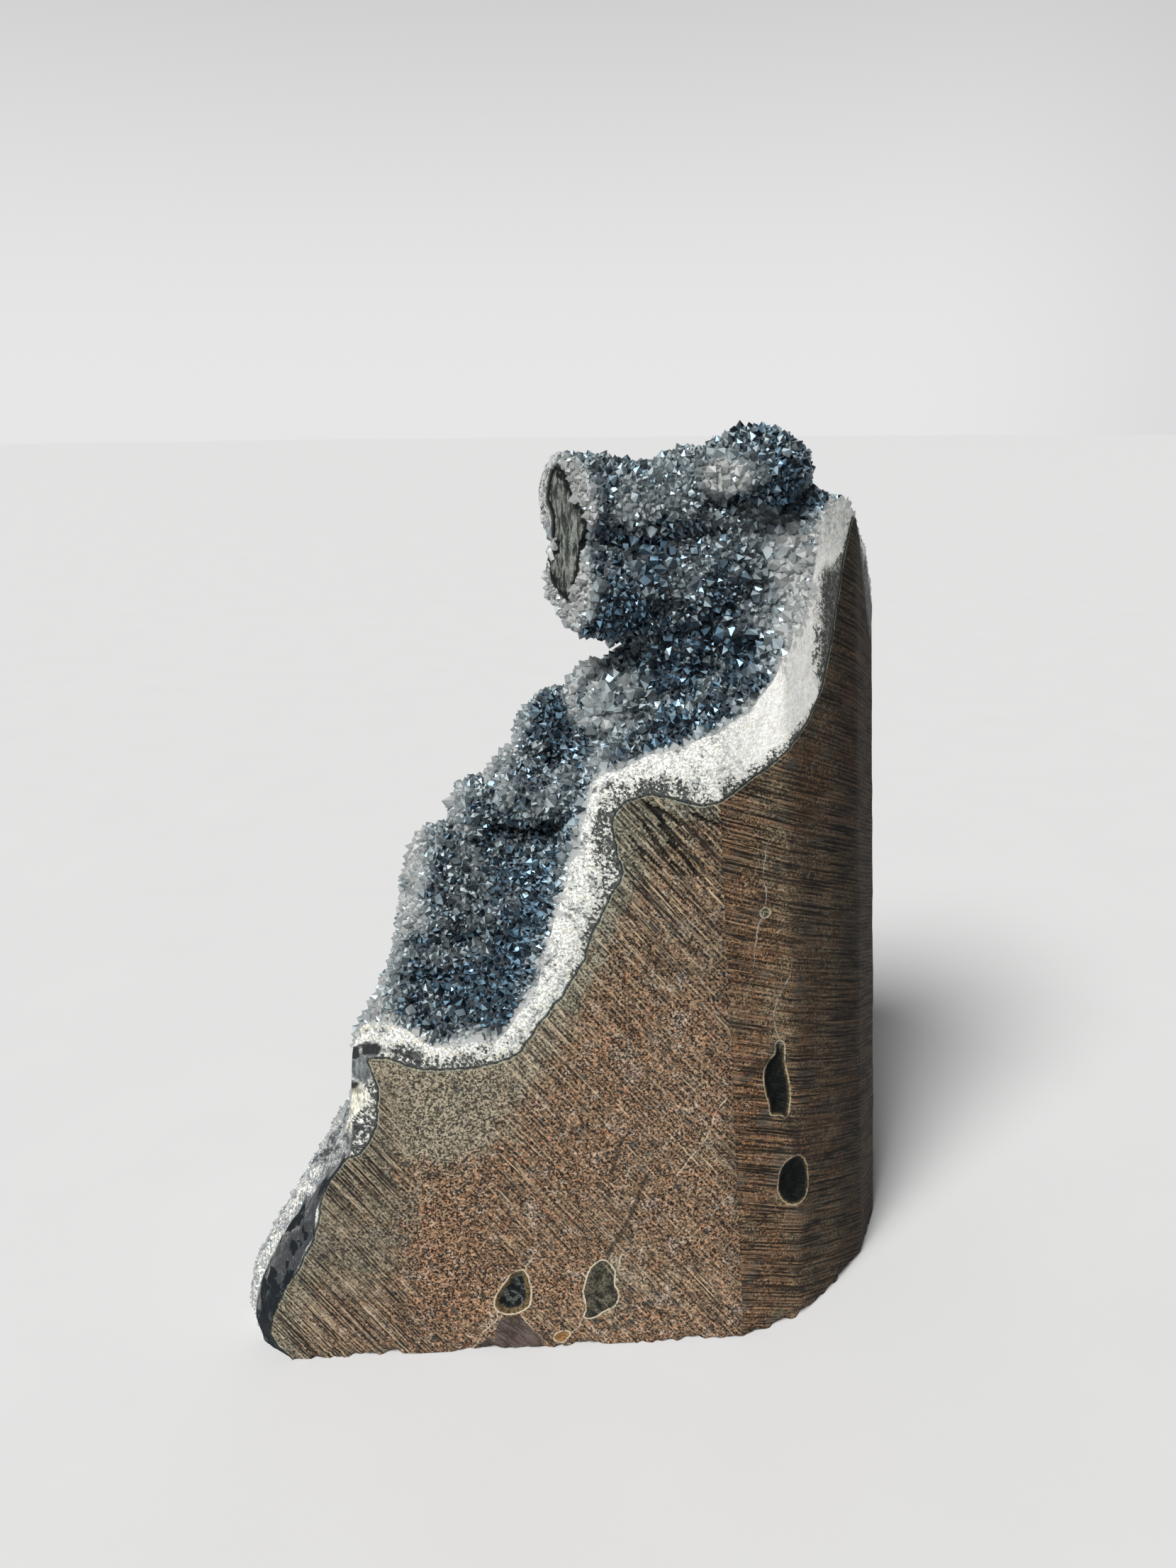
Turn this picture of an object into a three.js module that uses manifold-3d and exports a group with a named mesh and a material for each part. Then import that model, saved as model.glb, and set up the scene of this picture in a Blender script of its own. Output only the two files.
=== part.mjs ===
// A free-standing cut-base druse: a block of basalt matrix, sawn flat in front and
// underneath and trimmed by narrower cuts round its right-hand side, that carries a
// layer of quartz crowded with crystal points. A double stalactite, sawn across, and a
// rounded knob of crystals stand out at the top.
//
// Frame: millimetres, +Z up, the sawn front face in the plane facing -Y, the sawn
// underside on Z = 0, and the origin at the middle of the bounding box's floor.

import * as THREE from 'three';
import { mergeVertices } from 'three/addons/utils/BufferGeometryUtils.js';
import Module from 'manifold-3d';

// ---------------------------------------------------------------- driving dimensions
const HEIGHT = 240;            // reference height used by the cutting planes
const LEAN = 0.070;            // the right-hand cuts lean left by this much per mm of height
const BACK = 108;              // depth of the block behind the front face
const GAP = 0.3;               // clearance between the matrix and the quartz
const RIGHT_X = 125;           // beyond the right-hand cuts
const DRUSE_BACK = 86;         // the quartz wraps back to this depth

// plan of the trimmed block at the floor, from the front left, anticlockwise from above
const PLAN = [
  [-104, 0], [41.5, 0], [59, 7.2], [73, 20.2], [82.3, 30.3], [92.2, 50], [94.6, 70],
  [91, 90], [77, 102], [40, BACK], [-20, BACK], [-62, 101], [-88, 84], [-104, 56],
];

// Profiles of the whole specimen (matrix and quartz): for each depth behind the front
// face, [x, z] from the lower left corner, up the left side, across the crystal
// surface to the top right. Every profile has the same number of points.
const WHOLE = [
  { y: 0, p: [[-79, 0], [-84, 9], [-81, 20], [-76, 28], [-70, 40], [-68, 51], [-61.5, 62], [-60, 69], [-59, 83], [-57.6, 94], [-54.5, 99.5], [-49, 100.2], [-44, 97], [-38, 93], [-30, 93.3], [-22.5, 93], [-17, 101.5], [-10.8, 113], [-7, 128], [-1.6, 146], [0.5, 157], [5, 162], [15.5, 165.5], [26, 169], [35, 172], [42, 178], [47, 186], [53, 194], [56, 206], [57.5, 219], [66, 219.5], [74, 208], [80, 198]] },
  { y: 8, p: [[-88.5, 0], [-90, 9], [-87.2, 20], [-82, 31], [-74.6, 43], [-70.2, 49], [-63.8, 57.5], [-60.8, 67], [-59, 80], [-57.5, 92], [-54.5, 99.5], [-50, 102], [-45, 101.5], [-38, 100], [-30, 100], [-22.5, 101], [-17, 108], [-12, 118], [-8.2, 131], [-3.6, 147], [-1, 158], [4.5, 164], [14, 168.5], [24, 172], [33, 175], [40.5, 179], [45.5, 185.5], [52, 194], [55.5, 206], [57, 219], [65.5, 219.5], [74, 208], [80, 198]] },
  { y: 15, p: [[-91.5, 0], [-92.7, 11], [-90.3, 20], [-84.3, 31.5], [-77, 43.5], [-73, 50.5], [-66.6, 60], [-62, 69], [-59, 80], [-57, 89.5], [-54, 97], [-50.5, 104], [-45, 107], [-38, 107], [-30, 107], [-22.5, 109], [-17, 115], [-12.5, 124], [-8.6, 136], [-4.6, 149], [-1.5, 158.5], [4, 165.5], [13, 170], [23, 174], [32, 178], [39.5, 182], [45, 187.5], [51.5, 195], [55, 206], [57, 218.5], [65.5, 219.5], [74, 208], [80, 198]] },
  { y: 27, p: [[-93.5, 0], [-94.3, 9], [-88.3, 21], [-81.3, 32], [-74.3, 44], [-69.8, 52], [-64.3, 60.5], [-61, 69.5], [-59, 79], [-56, 87], [-52.8, 95.5], [-48.6, 105], [-44.5, 115], [-38, 119], [-30, 119], [-22, 121], [-16, 127.5], [-12.5, 136], [-9.5, 144], [-5.5, 153], [-1.5, 161], [4, 167], [12, 173], [21.5, 177.5], [30, 182.5], [37, 188], [42, 193], [47.5, 199], [52, 208], [55, 218], [64.5, 219.5], [72.5, 208.5], [79, 196]] },
  { y: 42, p: [[-93, 0], [-92.3, 9], [-85.3, 20], [-78.8, 31], [-72.3, 42.5], [-67.4, 51], [-64.3, 60], [-61.8, 69], [-58, 78], [-54.5, 87], [-50.5, 97], [-48.8, 109], [-46.7, 123], [-42.4, 132], [-36, 134.5], [-28.5, 136.5], [-27.6, 145], [-22.3, 151.3], [-16.8, 156.3], [-14.8, 165], [-10.3, 170], [-2, 171.5], [7, 176.5], [14, 184], [21, 194], [25, 203], [27, 214], [29.5, 226], [38, 230.5], [47, 229], [60, 219.5], [71.5, 208], [79, 193]] },
  { y: 58, p: [[-90.5, 0], [-89.2, 9], [-82.8, 20], [-76.3, 31], [-70.3, 41.5], [-67, 50.5], [-65, 60], [-61, 69], [-56.5, 78], [-52, 87.5], [-49, 97], [-47.5, 108], [-44, 120], [-39.5, 128], [-33, 130], [-27, 132], [-24, 141], [-18, 149], [-13, 154], [-10.5, 162], [-6, 166.5], [1, 169], [9.5, 176], [17, 185], [23, 196], [28, 208], [33, 218], [38.5, 224], [46, 226.5], [53, 222.5], [61.5, 213], [70, 202], [77, 187]] },
  { y: 74, p: [[-86.5, 0], [-85.3, 9], [-79.8, 20], [-73.8, 31], [-68.8, 42], [-65.8, 51.5], [-62, 60], [-57.5, 69.5], [-52.5, 79], [-47, 87], [-43.5, 95], [-40.5, 104], [-37, 114], [-32.5, 121], [-27, 125.5], [-20.5, 129], [-16, 136], [-11.5, 142], [-6.5, 148], [-2.5, 155], [2.5, 160], [9, 165], [16, 171], [22.5, 179], [28.5, 188], [34, 197], [39.5, 205], [45, 210], [50.5, 212], [56, 208.5], [62.5, 200.5], [69, 191], [75, 178]] },
  { y: DRUSE_BACK, p: [[-79, 0], [-79, 10], [-76, 21], [-71.5, 32], [-66.5, 42], [-61.5, 51], [-56, 58.5], [-51, 66], [-46, 73.5], [-40.5, 80.5], [-36, 88], [-32.5, 96], [-28.5, 104.5], [-24, 111], [-19, 116], [-13, 119.5], [-8, 126], [-3.5, 132], [1, 138], [5.5, 144.5], [10, 150], [16, 155.5], [22.5, 161.5], [28.5, 168.5], [34, 176.5], [39, 184], [44, 190.5], [48.5, 194.5], [53, 195], [57.5, 191.5], [63, 185], [69, 176], [74, 163]] },
];

// Profiles of the basalt matrix, in the same way.
const MATRIX = [
  { y: 0, p: [[-80, 0], [-85, 9], [-82, 20], [-77, 28], [-71, 40], [-69, 51], [-62, 62], [-57.5, 64], [-53.5, 72], [-52.8, 82], [-54.5, 90.6], [-48, 89.8], [-41, 87], [-31, 87.2], [-23, 88.3], [-17, 91.6], [-11, 100.8], [-6.3, 106.7], [-1.8, 114.7], [1, 122.7], [4.2, 129.9], [7.9, 137], [5.6, 147], [8.5, 155.5], [17.8, 155.9], [28.7, 154], [37, 157], [44, 160.5], [51, 166.5], [57.5, 171], [60, 182], [61, 194], [62.5, 206], [66, 209], [80, 190]] },
  { y: 8, p: [[-89.5, 0], [-91, 9], [-88, 20], [-83, 31], [-75, 43], [-70.5, 49], [-64, 57], [-58, 63], [-54, 72], [-52.8, 82], [-53, 89], [-47, 90], [-40, 90], [-31, 91], [-23, 92.5], [-16.5, 97], [-11, 105], [-6.8, 111.5], [-2.6, 119], [0, 127], [3, 134], [6, 141], [5.5, 150], [9, 157], [17.5, 159], [27.5, 159.5], [36.5, 160.5], [44, 162.5], [51, 167], [57, 171], [60, 182], [61, 194], [62.5, 206], [66, 209], [80, 190]] },
  { y: 15, p: [[-86.5, 0], [-87.5, 9], [-85, 20], [-79, 31], [-72.5, 42], [-68.5, 49], [-62, 57.5], [-57.5, 65], [-54, 74], [-51, 83], [-48.5, 91], [-45, 95], [-39, 96], [-31, 97.5], [-23, 99.5], [-16, 104], [-10.5, 112], [-7, 119], [-3.2, 127], [-0.5, 134], [2.5, 141], [5, 148], [7.5, 154.5], [12.5, 159.5], [20, 162], [28.5, 163.5], [37, 164.5], [44, 166.5], [50.5, 169.5], [56, 173.5], [59.5, 183], [60.5, 194], [62, 206], [66, 210], [80, 190]] },
  { y: 24, p: [[-88, 0], [-88.6, 9], [-84, 20], [-77.5, 31], [-70.5, 43], [-66, 50.5], [-60.5, 58], [-56.8, 67], [-53.6, 76], [-50.3, 84.5], [-47.3, 93], [-44, 101], [-38, 105], [-31, 106], [-24, 108], [-16, 113], [-10, 121], [-6.5, 129], [-3.2, 137], [-0.2, 144], [2.8, 149.5], [7, 155], [13, 161], [21, 165], [29, 168], [37, 171], [44, 173.5], [51, 177], [56.5, 181], [60, 188], [61.5, 196], [62.8, 205], [64.5, 214], [68, 216], [80, 192]] },
  { y: 31, p: [[-88.5, 0], [-88.5, 9], [-83, 20], [-76, 31], [-69, 43], [-64.5, 50.5], [-59.8, 58], [-56.5, 67], [-53.5, 76], [-49.5, 84.5], [-46, 93.5], [-42.6, 103], [-37.5, 110], [-30.5, 113], [-23, 115.5], [-15.5, 121], [-10.5, 130], [-7, 137], [-3.5, 143], [-0.5, 149.5], [2.6, 154.5], [7.5, 159], [14, 165], [22, 170], [30, 175], [37.5, 181], [43.5, 187], [48.5, 192.5], [53.5, 198], [58.5, 204], [62, 209.5], [64.5, 215.5], [67, 217], [69.5, 213.5], [79, 193]] },
  { y: 42, p: [[-88, 0], [-87, 9], [-80.5, 19], [-74, 30], [-67.5, 41], [-62.5, 49], [-59.5, 58], [-56.5, 67], [-52.8, 76], [-48.8, 85], [-44.5, 95], [-42.4, 106], [-40.4, 116.5], [-35.5, 123.5], [-28, 127], [-20.5, 129.5], [-18, 139], [-13, 145.5], [-8.5, 151], [-6, 158], [-2, 162], [4, 165], [12, 170.5], [20, 178], [28, 188], [33, 197], [36, 207], [39.5, 215.5], [44, 218.5], [48, 218], [53, 215], [58, 211.5], [64, 207.5], [70, 202], [78, 187]] },
  { y: 58, p: [[-85.5, 0], [-84, 9], [-78, 19], [-71.5, 30], [-65.5, 40.5], [-62, 49.5], [-60, 58.5], [-56, 67.5], [-51, 77], [-46.3, 86.5], [-43, 96], [-41, 106], [-37.5, 115.5], [-32.5, 121], [-25.5, 123.5], [-18.5, 126.5], [-15, 135], [-10, 141.5], [-5.5, 147], [-2, 154], [3, 158.5], [10, 163], [17.5, 170], [24.5, 179], [30, 189.5], [35, 200], [39.5, 209], [43.5, 214], [48, 215.5], [52, 213], [56, 208.5], [60.5, 203], [65, 197.5], [70, 191], [76.5, 178]] },
  { y: 76, p: [[-82, 0], [-80.5, 9], [-75, 19], [-69, 30], [-64, 40.5], [-60.5, 50], [-56.5, 59], [-52, 67.5], [-47, 76.5], [-42, 84.5], [-38.5, 92.5], [-35.5, 101], [-32, 110], [-27.5, 116.5], [-22, 121], [-15.5, 124.5], [-10.5, 131.5], [-6, 137.5], [-1.5, 143.5], [2.5, 150.5], [7.5, 156.5], [14, 161.5], [21, 167.5], [27.5, 175.5], [33.5, 184.5], [38.5, 193.5], [43, 200.5], [46.5, 205], [50, 206.5], [53.5, 205], [57.5, 200.5], [62, 195], [66.5, 189], [71, 182], [76, 169]] },
  { y: 94, p: [[-77, 0], [-77, 9], [-73, 19], [-68, 29], [-63, 39], [-58.5, 48], [-53.5, 56.5], [-48.5, 65], [-43, 73], [-37.5, 80], [-33.5, 88], [-29.5, 96], [-25.5, 104], [-21.5, 110], [-16.5, 114.5], [-10.5, 118], [-6, 124], [-1.5, 130], [3.5, 136], [7.5, 142], [12, 147], [18, 152], [24.5, 158], [30.5, 165], [36, 173], [41, 180], [45, 186.5], [48.5, 190.5], [52, 191.5], [56, 189.5], [60, 184.5], [64, 179], [68.5, 172], [73, 165], [78, 151]] },
  { y: BACK, p: [[-64, 0], [-66, 9], [-65, 18], [-61, 27], [-56, 36], [-51.5, 44], [-46.5, 52], [-41.5, 59], [-36, 66], [-30.5, 73], [-26, 80], [-22, 87], [-17.5, 94], [-13.5, 100], [-8.5, 105], [-3, 109], [2, 115], [6.5, 120], [11, 125.5], [15, 131], [19.5, 136], [25, 141], [31, 146.5], [36.5, 153], [41, 160], [45.5, 167], [49, 172], [52, 175], [55, 176], [58.5, 174], [62, 170], [66, 164], [70, 158], [74.5, 150], [80, 136]] },
];

// the double stalactite: [x, y, z, radius across, radius up] stations along each barrel
const BARREL_TOP = [[-16, 27, 220.6, 10.8, 10.6], [-4, 27, 220.6, 11.2, 10.8], [8, 28, 219.6, 11.2, 10.8], [20, 29.5, 219, 12, 11], [32, 32, 220.5, 13, 12.2], [44, 35, 221, 13, 12.2], [56, 38, 216, 9, 8]];
const BARREL_LOW = [[-16, 27, 203.6, 7, 7], [-7, 27, 202.8, 8.6, 8.6], [0, 27, 201, 10, 10], [8, 27.5, 199.8, 10.6, 10.8], [20, 29, 199.8, 11.6, 11.6], [32, 33, 200.5, 12.5, 13], [44, 38, 203, 12, 12]];
const CORE_TOP = [[-16, 27.2, 218, 8, 7.6], [10, 28, 218, 7.4, 7], [34, 32, 217, 6.8, 6.4], [52, 36, 212, 6, 6], [68, 44, 202, 6, 6]];
const CORE_LOW = [[-16, 26.8, 204.6, 5.4, 6], [10, 27.5, 204, 5.4, 5.8], [34, 33, 204, 5, 5.2], [54, 40, 203, 5, 5]];
const END_POINT = [-3.6, 27, 212];   // the sawn end of the stalactite passes through here
const END_TURN = 27;                 // and is turned this many degrees towards the front

// rounded lobes of the crystal crust: [x, y, z, rx, ry, rz]
const LOBES = [
  [47.8, 41, 225, 10.8, 11.5, 11],     // knob at the top
  [27, 41, 221, 10.5, 12, 10.6],
  [-36.5, 38, 116, 11.5, 16, 15],
  [-38.5, 30, 101, 11, 14, 11],
  [-19.5, 44, 134.5, 10, 15, 14],
  [-6, 43, 156, 10.5, 15, 14],
  [7.5, 43, 167, 12, 15, 11.5],
  [-29, 26, 101, 14, 13, 11.5],
  [0, 26, 147, 10.5, 14, 13],
  [22, 35, 175, 13, 15, 10],
];

// ---------------------------------------------------------------- helpers
const wasm = await Module();
wasm.setup();

function toManifold(geometry) {
  const g = geometry.clone();
  g.deleteAttribute('normal');
  g.deleteAttribute('uv');
  const m = mergeVertices(g, 1e-5);
  return new wasm.Manifold(new wasm.Mesh({
    numProp: 3,
    vertProperties: new Float32Array(m.attributes.position.array),
    triVerts: new Uint32Array(m.index.array),
  }));
}

function toGeometry(manifold) {
  const mesh = manifold.getMesh();
  const g = new THREE.BufferGeometry();
  g.setAttribute('position', new THREE.BufferAttribute(new Float32Array(mesh.vertProperties), 3));
  g.setIndex(new THREE.BufferAttribute(new Uint32Array(mesh.triVerts), 1));
  g.computeVertexNormals();
  return g;
}

// closed solid through rings that all have the same number of points
function ringSolid(rings, capShape) {
  const n = rings[0].length, pos = [], index = [];
  for (const ring of rings) for (const v of ring) pos.push(v.x, v.y, v.z);
  for (let k = 0; k < rings.length - 1; k++) {
    for (let i = 0; i < n; i++) {
      const a = k * n + i, b = k * n + (i + 1) % n, c = a + n, d = b + n;
      index.push(a, c, b, b, c, d);
    }
  }
  for (const [k, first] of [[0, true], [rings.length - 1, false]]) {
    const outline = capShape(k);
    const turn = Math.sign(THREE.ShapeUtils.area(outline));
    for (const t of THREE.ShapeUtils.triangulateShape(outline.map((v) => v.clone()), [])) {
      const same = Math.sign(THREE.ShapeUtils.area(t.map((i) => outline[i]))) === turn;
      const [a, b, c] = t.map((i) => k * n + i);
      if (same === first) index.push(a, b, c); else index.push(a, c, b);
    }
  }
  const g = new THREE.BufferGeometry();
  g.setAttribute('position', new THREE.Float32BufferAttribute(pos, 3));
  g.setIndex(index);
  // faces outward: the signed volume tells
  let vol = 0;
  const P = (i) => new THREE.Vector3(pos[3 * i], pos[3 * i + 1], pos[3 * i + 2]);
  for (let i = 0; i < index.length; i += 3) vol += P(index[i]).dot(P(index[i + 1]).cross(P(index[i + 2])));
  if (vol < 0) for (let i = 0; i < index.length; i += 3) [index[i + 1], index[i + 2]] = [index[i + 2], index[i + 1]];
  g.setIndex(index);
  return g;
}

// block through profiles at increasing depth, smoothed from profile to profile
function profileBlock(table, steps, front, grow) {
  const count = table[0].p.length;
  const rails = [];
  for (let i = 0; i < count; i++) {
    rails.push(new THREE.CatmullRomCurve3(table.map((s) => new THREE.Vector3(s.p[i][0], s.y, s.p[i][1])), false, 'catmullrom', 0.35));
  }
  const rings = [];
  const addRing = (pts, y) => {
    const ring = pts.map(([x, z]) => new THREE.Vector3(x, y, z));
    ring.push(new THREE.Vector3(RIGHT_X, y, pts[pts.length - 1][1]), new THREE.Vector3(RIGHT_X, y, -1));
    ring.push(new THREE.Vector3(pts[0][0], y, -1));
    rings.push(ring);
  };
  // grow moves the profile outwards, square to itself
  const widen = (pts) => {
    if (!grow) return pts;
    return pts.map((p, i) => {
      const a = pts[Math.max(0, i - 1)], b = pts[Math.min(pts.length - 1, i + 1)];
      const t = new THREE.Vector2(b[0] - a[0], b[1] - a[1]).normalize();
      return [p[0] - t.y * grow, p[1] + t.x * grow];
    });
  };
  addRing(widen(table[0].p), front);
  for (let s = 0; s <= steps; s++) {
    const q = rails.map((r) => r.getPoint(s / steps));
    addRing(widen(q.map((v) => [v.x, v.z])), q[0].y);
  }
  if (grow) addRing(widen(table[table.length - 1].p), table[table.length - 1].y + 6);
  return ringSolid(rings, (k) => rings[k].map((v) => new THREE.Vector2(v.x, v.z)));
}

// prism through the plan, its right-hand and back cuts leaning left
function trimmedPrism() {
  const lean = (z) => PLAN.map(([x, y]) => new THREE.Vector3(x > -50 && y >= 0 ? x - LEAN * z : x, y, z));
  const rings = [lean(0), lean(HEIGHT + 20)];
  rings[1][0].x = PLAN[0][0];
  return ringSolid(rings, (k) => rings[k].map((v) => new THREE.Vector2(v.x, v.y)));
}

// barrel of oval rings along x
function barrel(stations, sides, grow = 0) {
  const rings = stations.map(([x, y, z, ry, rz], s) => {
    const ring = [];
    for (let i = 0; i < sides; i++) {
      const a = (i + 0.5 * (s % 2)) / sides * Math.PI * 2;
      ring.push(new THREE.Vector3(x + (s === stations.length - 1 ? grow : 0), y + Math.cos(a) * (ry + grow), z + Math.sin(a) * (rz + grow)));
    }
    return ring;
  });
  return ringSolid(rings, (k) => rings[k].map((v) => new THREE.Vector2(v.y, v.z)));
}

function lobe([x, y, z, rx, ry, rz]) {
  const g = new THREE.IcosahedronGeometry(1, 3);
  g.scale(rx, ry, rz);
  g.translate(x, y, z);
  return g;
}

// ---------------------------------------------------------------- solids
const trim = toManifold(trimmedPrism());
const floorCut = toManifold(new THREE.BoxGeometry(400, 400, 50).translate(0, 50, -25));

// beyond the sawn end of the stalactite
const endCutter = new THREE.BoxGeometry(60, 80, 60);
endCutter.translate(-30, 0, 0);
endCutter.rotateZ(THREE.MathUtils.degToRad(END_TURN));
endCutter.translate(...END_POINT);
const endCut = toManifold(endCutter);

let matrix = toManifold(profileBlock(MATRIX, 9, -4, 0)).intersect(trim);
matrix = matrix.add(toManifold(barrel(CORE_TOP, 12))).add(toManifold(barrel(CORE_LOW, 12)));
matrix = matrix.subtract(endCut).subtract(floorCut);

let room = toManifold(profileBlock(MATRIX, 9, -6, GAP));
room = room.add(toManifold(barrel(CORE_TOP, 12, 1.3 * GAP))).add(toManifold(barrel(CORE_LOW, 12, 1.3 * GAP)));

let quartz = toManifold(profileBlock(WHOLE, 12, -4, 0)).intersect(trim);
let stalactite = toManifold(barrel(BARREL_TOP, 16)).add(toManifold(barrel(BARREL_LOW, 16)));
quartz = quartz.add(stalactite);
for (const l of LOBES) quartz = quartz.add(toManifold(lobe(l)));
quartz = quartz.subtract(endCut).subtract(room).subtract(floorCut);

// the largest body of each: the cuts can leave crumbs
const largest = (m) => m.decompose().sort((a, b) => b.volume() - a.volume())[0];
matrix = largest(matrix);
quartz = largest(quartz);

// the origin goes to the middle of the floor of the bounding box
const box = new THREE.Box3();
for (const m of [matrix, quartz]) {
  const b = m.boundingBox();
  box.expandByPoint(new THREE.Vector3(...b.min)).expandByPoint(new THREE.Vector3(...b.max));
}
const centre = box.getCenter(new THREE.Vector3());

const specimen = new THREE.Group();
specimen.name = 'druse_specimen';

const basalt = new THREE.Mesh(
  toGeometry(matrix).translate(-centre.x, -centre.y, -box.min.z),
  new THREE.MeshStandardMaterial({ color: 0x6a5a4c, roughness: 0.85, metalness: 0 }),
);
basalt.name = 'basalt_matrix';

const crust = new THREE.Mesh(
  toGeometry(quartz).translate(-centre.x, -centre.y, -box.min.z),
  new THREE.MeshStandardMaterial({ color: 0x5e7183, roughness: 0.25, metalness: 0 }),
);
crust.name = 'quartz_druse';

specimen.add(basalt, crust);
export default specimen;
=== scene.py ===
"""Looks of the cut-base druse: a sawn basalt block, a band of milky quartz along the cut,
and a crowd of smoky quartz points grown over it."""

import math

import bpy
import bmesh
import numpy as np
from mathutils import Matrix, Vector
from mathutils.bvhtree import BVHTree


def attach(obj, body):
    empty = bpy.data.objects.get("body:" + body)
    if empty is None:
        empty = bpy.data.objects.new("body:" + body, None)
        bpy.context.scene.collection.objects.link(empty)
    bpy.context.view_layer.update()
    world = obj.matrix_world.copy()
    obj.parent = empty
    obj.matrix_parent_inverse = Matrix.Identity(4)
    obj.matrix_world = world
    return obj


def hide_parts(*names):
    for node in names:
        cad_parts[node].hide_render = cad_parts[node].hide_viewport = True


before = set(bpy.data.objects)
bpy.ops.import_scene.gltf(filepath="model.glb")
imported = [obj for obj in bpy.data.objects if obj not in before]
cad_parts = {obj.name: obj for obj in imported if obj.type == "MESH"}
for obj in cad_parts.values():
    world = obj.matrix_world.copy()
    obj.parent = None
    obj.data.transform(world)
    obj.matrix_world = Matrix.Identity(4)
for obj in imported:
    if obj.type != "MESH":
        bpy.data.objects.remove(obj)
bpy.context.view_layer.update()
scene = bpy.context.scene

# ------------------------------------------------------------------ frame and camera
# All the shape work below is in millimetres with the sawn front in the plane y = 0.
# The frame's origin is at the middle of the box's floor.
SHIFT = np.array([-0.156, -54.0, 0.0])


def to_frame(p):
    return (np.asarray(p, float) + SHIFT) / 1000.0


def add_camera():
    th, pitch, roll = math.radians(3.15), math.radians(17.6), math.radians(-0.44)

    def turn(v):
        x, y, z = v
        return Vector((x * math.cos(th) + y * math.sin(th), -x * math.sin(th) + y * math.cos(th), z))

    r0 = Vector((1, 0, 0))
    f0 = Vector((0, math.cos(pitch), -math.sin(pitch)))
    u0 = Vector((0, math.sin(pitch), math.cos(pitch)))
    right = turn(math.cos(roll) * r0 + math.sin(roll) * u0)
    up = turn(math.cos(roll) * u0 - math.sin(roll) * r0)
    fwd = turn(f0)
    cam = bpy.data.cameras.new("camera")
    cam.sensor_width = 36.0
    cam.lens = 1637.0 / 2212.0 * 36.0
    cam.clip_start = 0.01
    cam.clip_end = 50.0
    ob = bpy.data.objects.new("camera", cam)
    scene.collection.objects.link(ob)
    m = Matrix((
        (right.x, up.x, -fwd.x, -0.01408),
        (right.y, up.y, -fwd.y, -0.30702),
        (right.z, up.z, -fwd.z, 0.240),
        (0, 0, 0, 1),
    ))
    ob.matrix_world = m
    scene.camera = ob


add_camera()

# ------------------------------------------------------------------ small tools
G = np.random.default_rng(20231)


def lerp(a, b, f):
    return a + (b - a) * f


def smooth(a, b, x):
    t = np.clip((x - a) / (b - a), 0, 1)
    return t * t * (3 - 2 * t)


def _hash(ix, iy, iz, seed):
    h = (ix.astype(np.uint32) * np.uint32(0x8DA6B343)) ^ (iy.astype(np.uint32) * np.uint32(0xD8163841)) ^ (iz.astype(np.uint32) * np.uint32(0xCB1AB31F)) ^ np.uint32((seed * 0x9E3779B9) & 0xFFFFFFFF)
    h ^= h >> np.uint32(13)
    h = h * np.uint32(0x5BD1E995)
    h ^= h >> np.uint32(15)
    h = h * np.uint32(0x27D4EB2F)
    h ^= h >> np.uint32(13)
    return h.astype(np.float64) / 4294967295.0


def value_noise(p, size, seed=0):
    """Smooth noise from -1 to 1 at points p, with lumps about `size` across."""
    q = np.asarray(p, float) / size + 1000.0
    i = np.floor(q).astype(np.int64)
    f = q - i
    f = f * f * f * (f * (f * 6 - 15) + 10)
    out = np.zeros(len(q))
    for a in (0, 1):
        wx = f[:, 0] if a else 1 - f[:, 0]
        for b in (0, 1):
            wy = f[:, 1] if b else 1 - f[:, 1]
            for c in (0, 1):
                wz = f[:, 2] if c else 1 - f[:, 2]
                out += wx * wy * wz * _hash(i[:, 0] + a, i[:, 1] + b, i[:, 2] + c, seed)
    return out * 2 - 1


def fbm(p, size, octaves, seed=0, gain=0.5):
    out = np.zeros(len(p))
    amp, total = 1.0, 0.0
    for k in range(octaves):
        out += amp * value_noise(p, size / 2 ** k, seed + 17 * k)
        total += amp
        amp *= gain
    return out / total


def cells(p, size, seed=0):
    """Distance to the nearest and second nearest of scattered points, in units of `size`, and the nearest one's own random number."""
    q = np.asarray(p, float) / size + 1000.0
    i = np.floor(q).astype(np.int64)
    best = np.full(len(q), 9.0)
    second = np.full(len(q), 9.0)
    own = np.zeros(len(q))
    for a in (-1, 0, 1):
        for b in (-1, 0, 1):
            for c in (-1, 0, 1):
                x, y, z = i[:, 0] + a, i[:, 1] + b, i[:, 2] + c
                d = np.sqrt((x + _hash(x, y, z, seed) - q[:, 0]) ** 2 + (y + _hash(x, y, z, seed + 1) - q[:, 1]) ** 2 + (z + _hash(x, y, z, seed + 2) - q[:, 2]) ** 2)
                near = d < best
                second = np.where(near, best, np.minimum(second, d))
                own = np.where(near, _hash(x, y, z, seed + 3), own)
                best = np.where(near, d, best)
    return best, second, own


def new_object(name, mesh):
    ob = bpy.data.objects.new(name, mesh)
    scene.collection.objects.link(ob)
    return ob


def drop(ob):
    me = ob.data
    bpy.data.objects.remove(ob)
    if me.users == 0:
        bpy.data.meshes.remove(me)


def coords(me):
    co = np.empty(len(me.vertices) * 3, np.float32)
    me.vertices.foreach_get("co", co)
    return co.reshape(-1, 3).astype(float)


def put_coords(me, co):
    me.vertices.foreach_set("co", np.asarray(co, np.float32).ravel())
    me.update()


def set_attribute(me, name, values, domain="POINT"):
    at = me.attributes.get(name) or me.attributes.new(name, "FLOAT", domain)
    at.data.foreach_set("value", np.asarray(values, np.float32))


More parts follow.
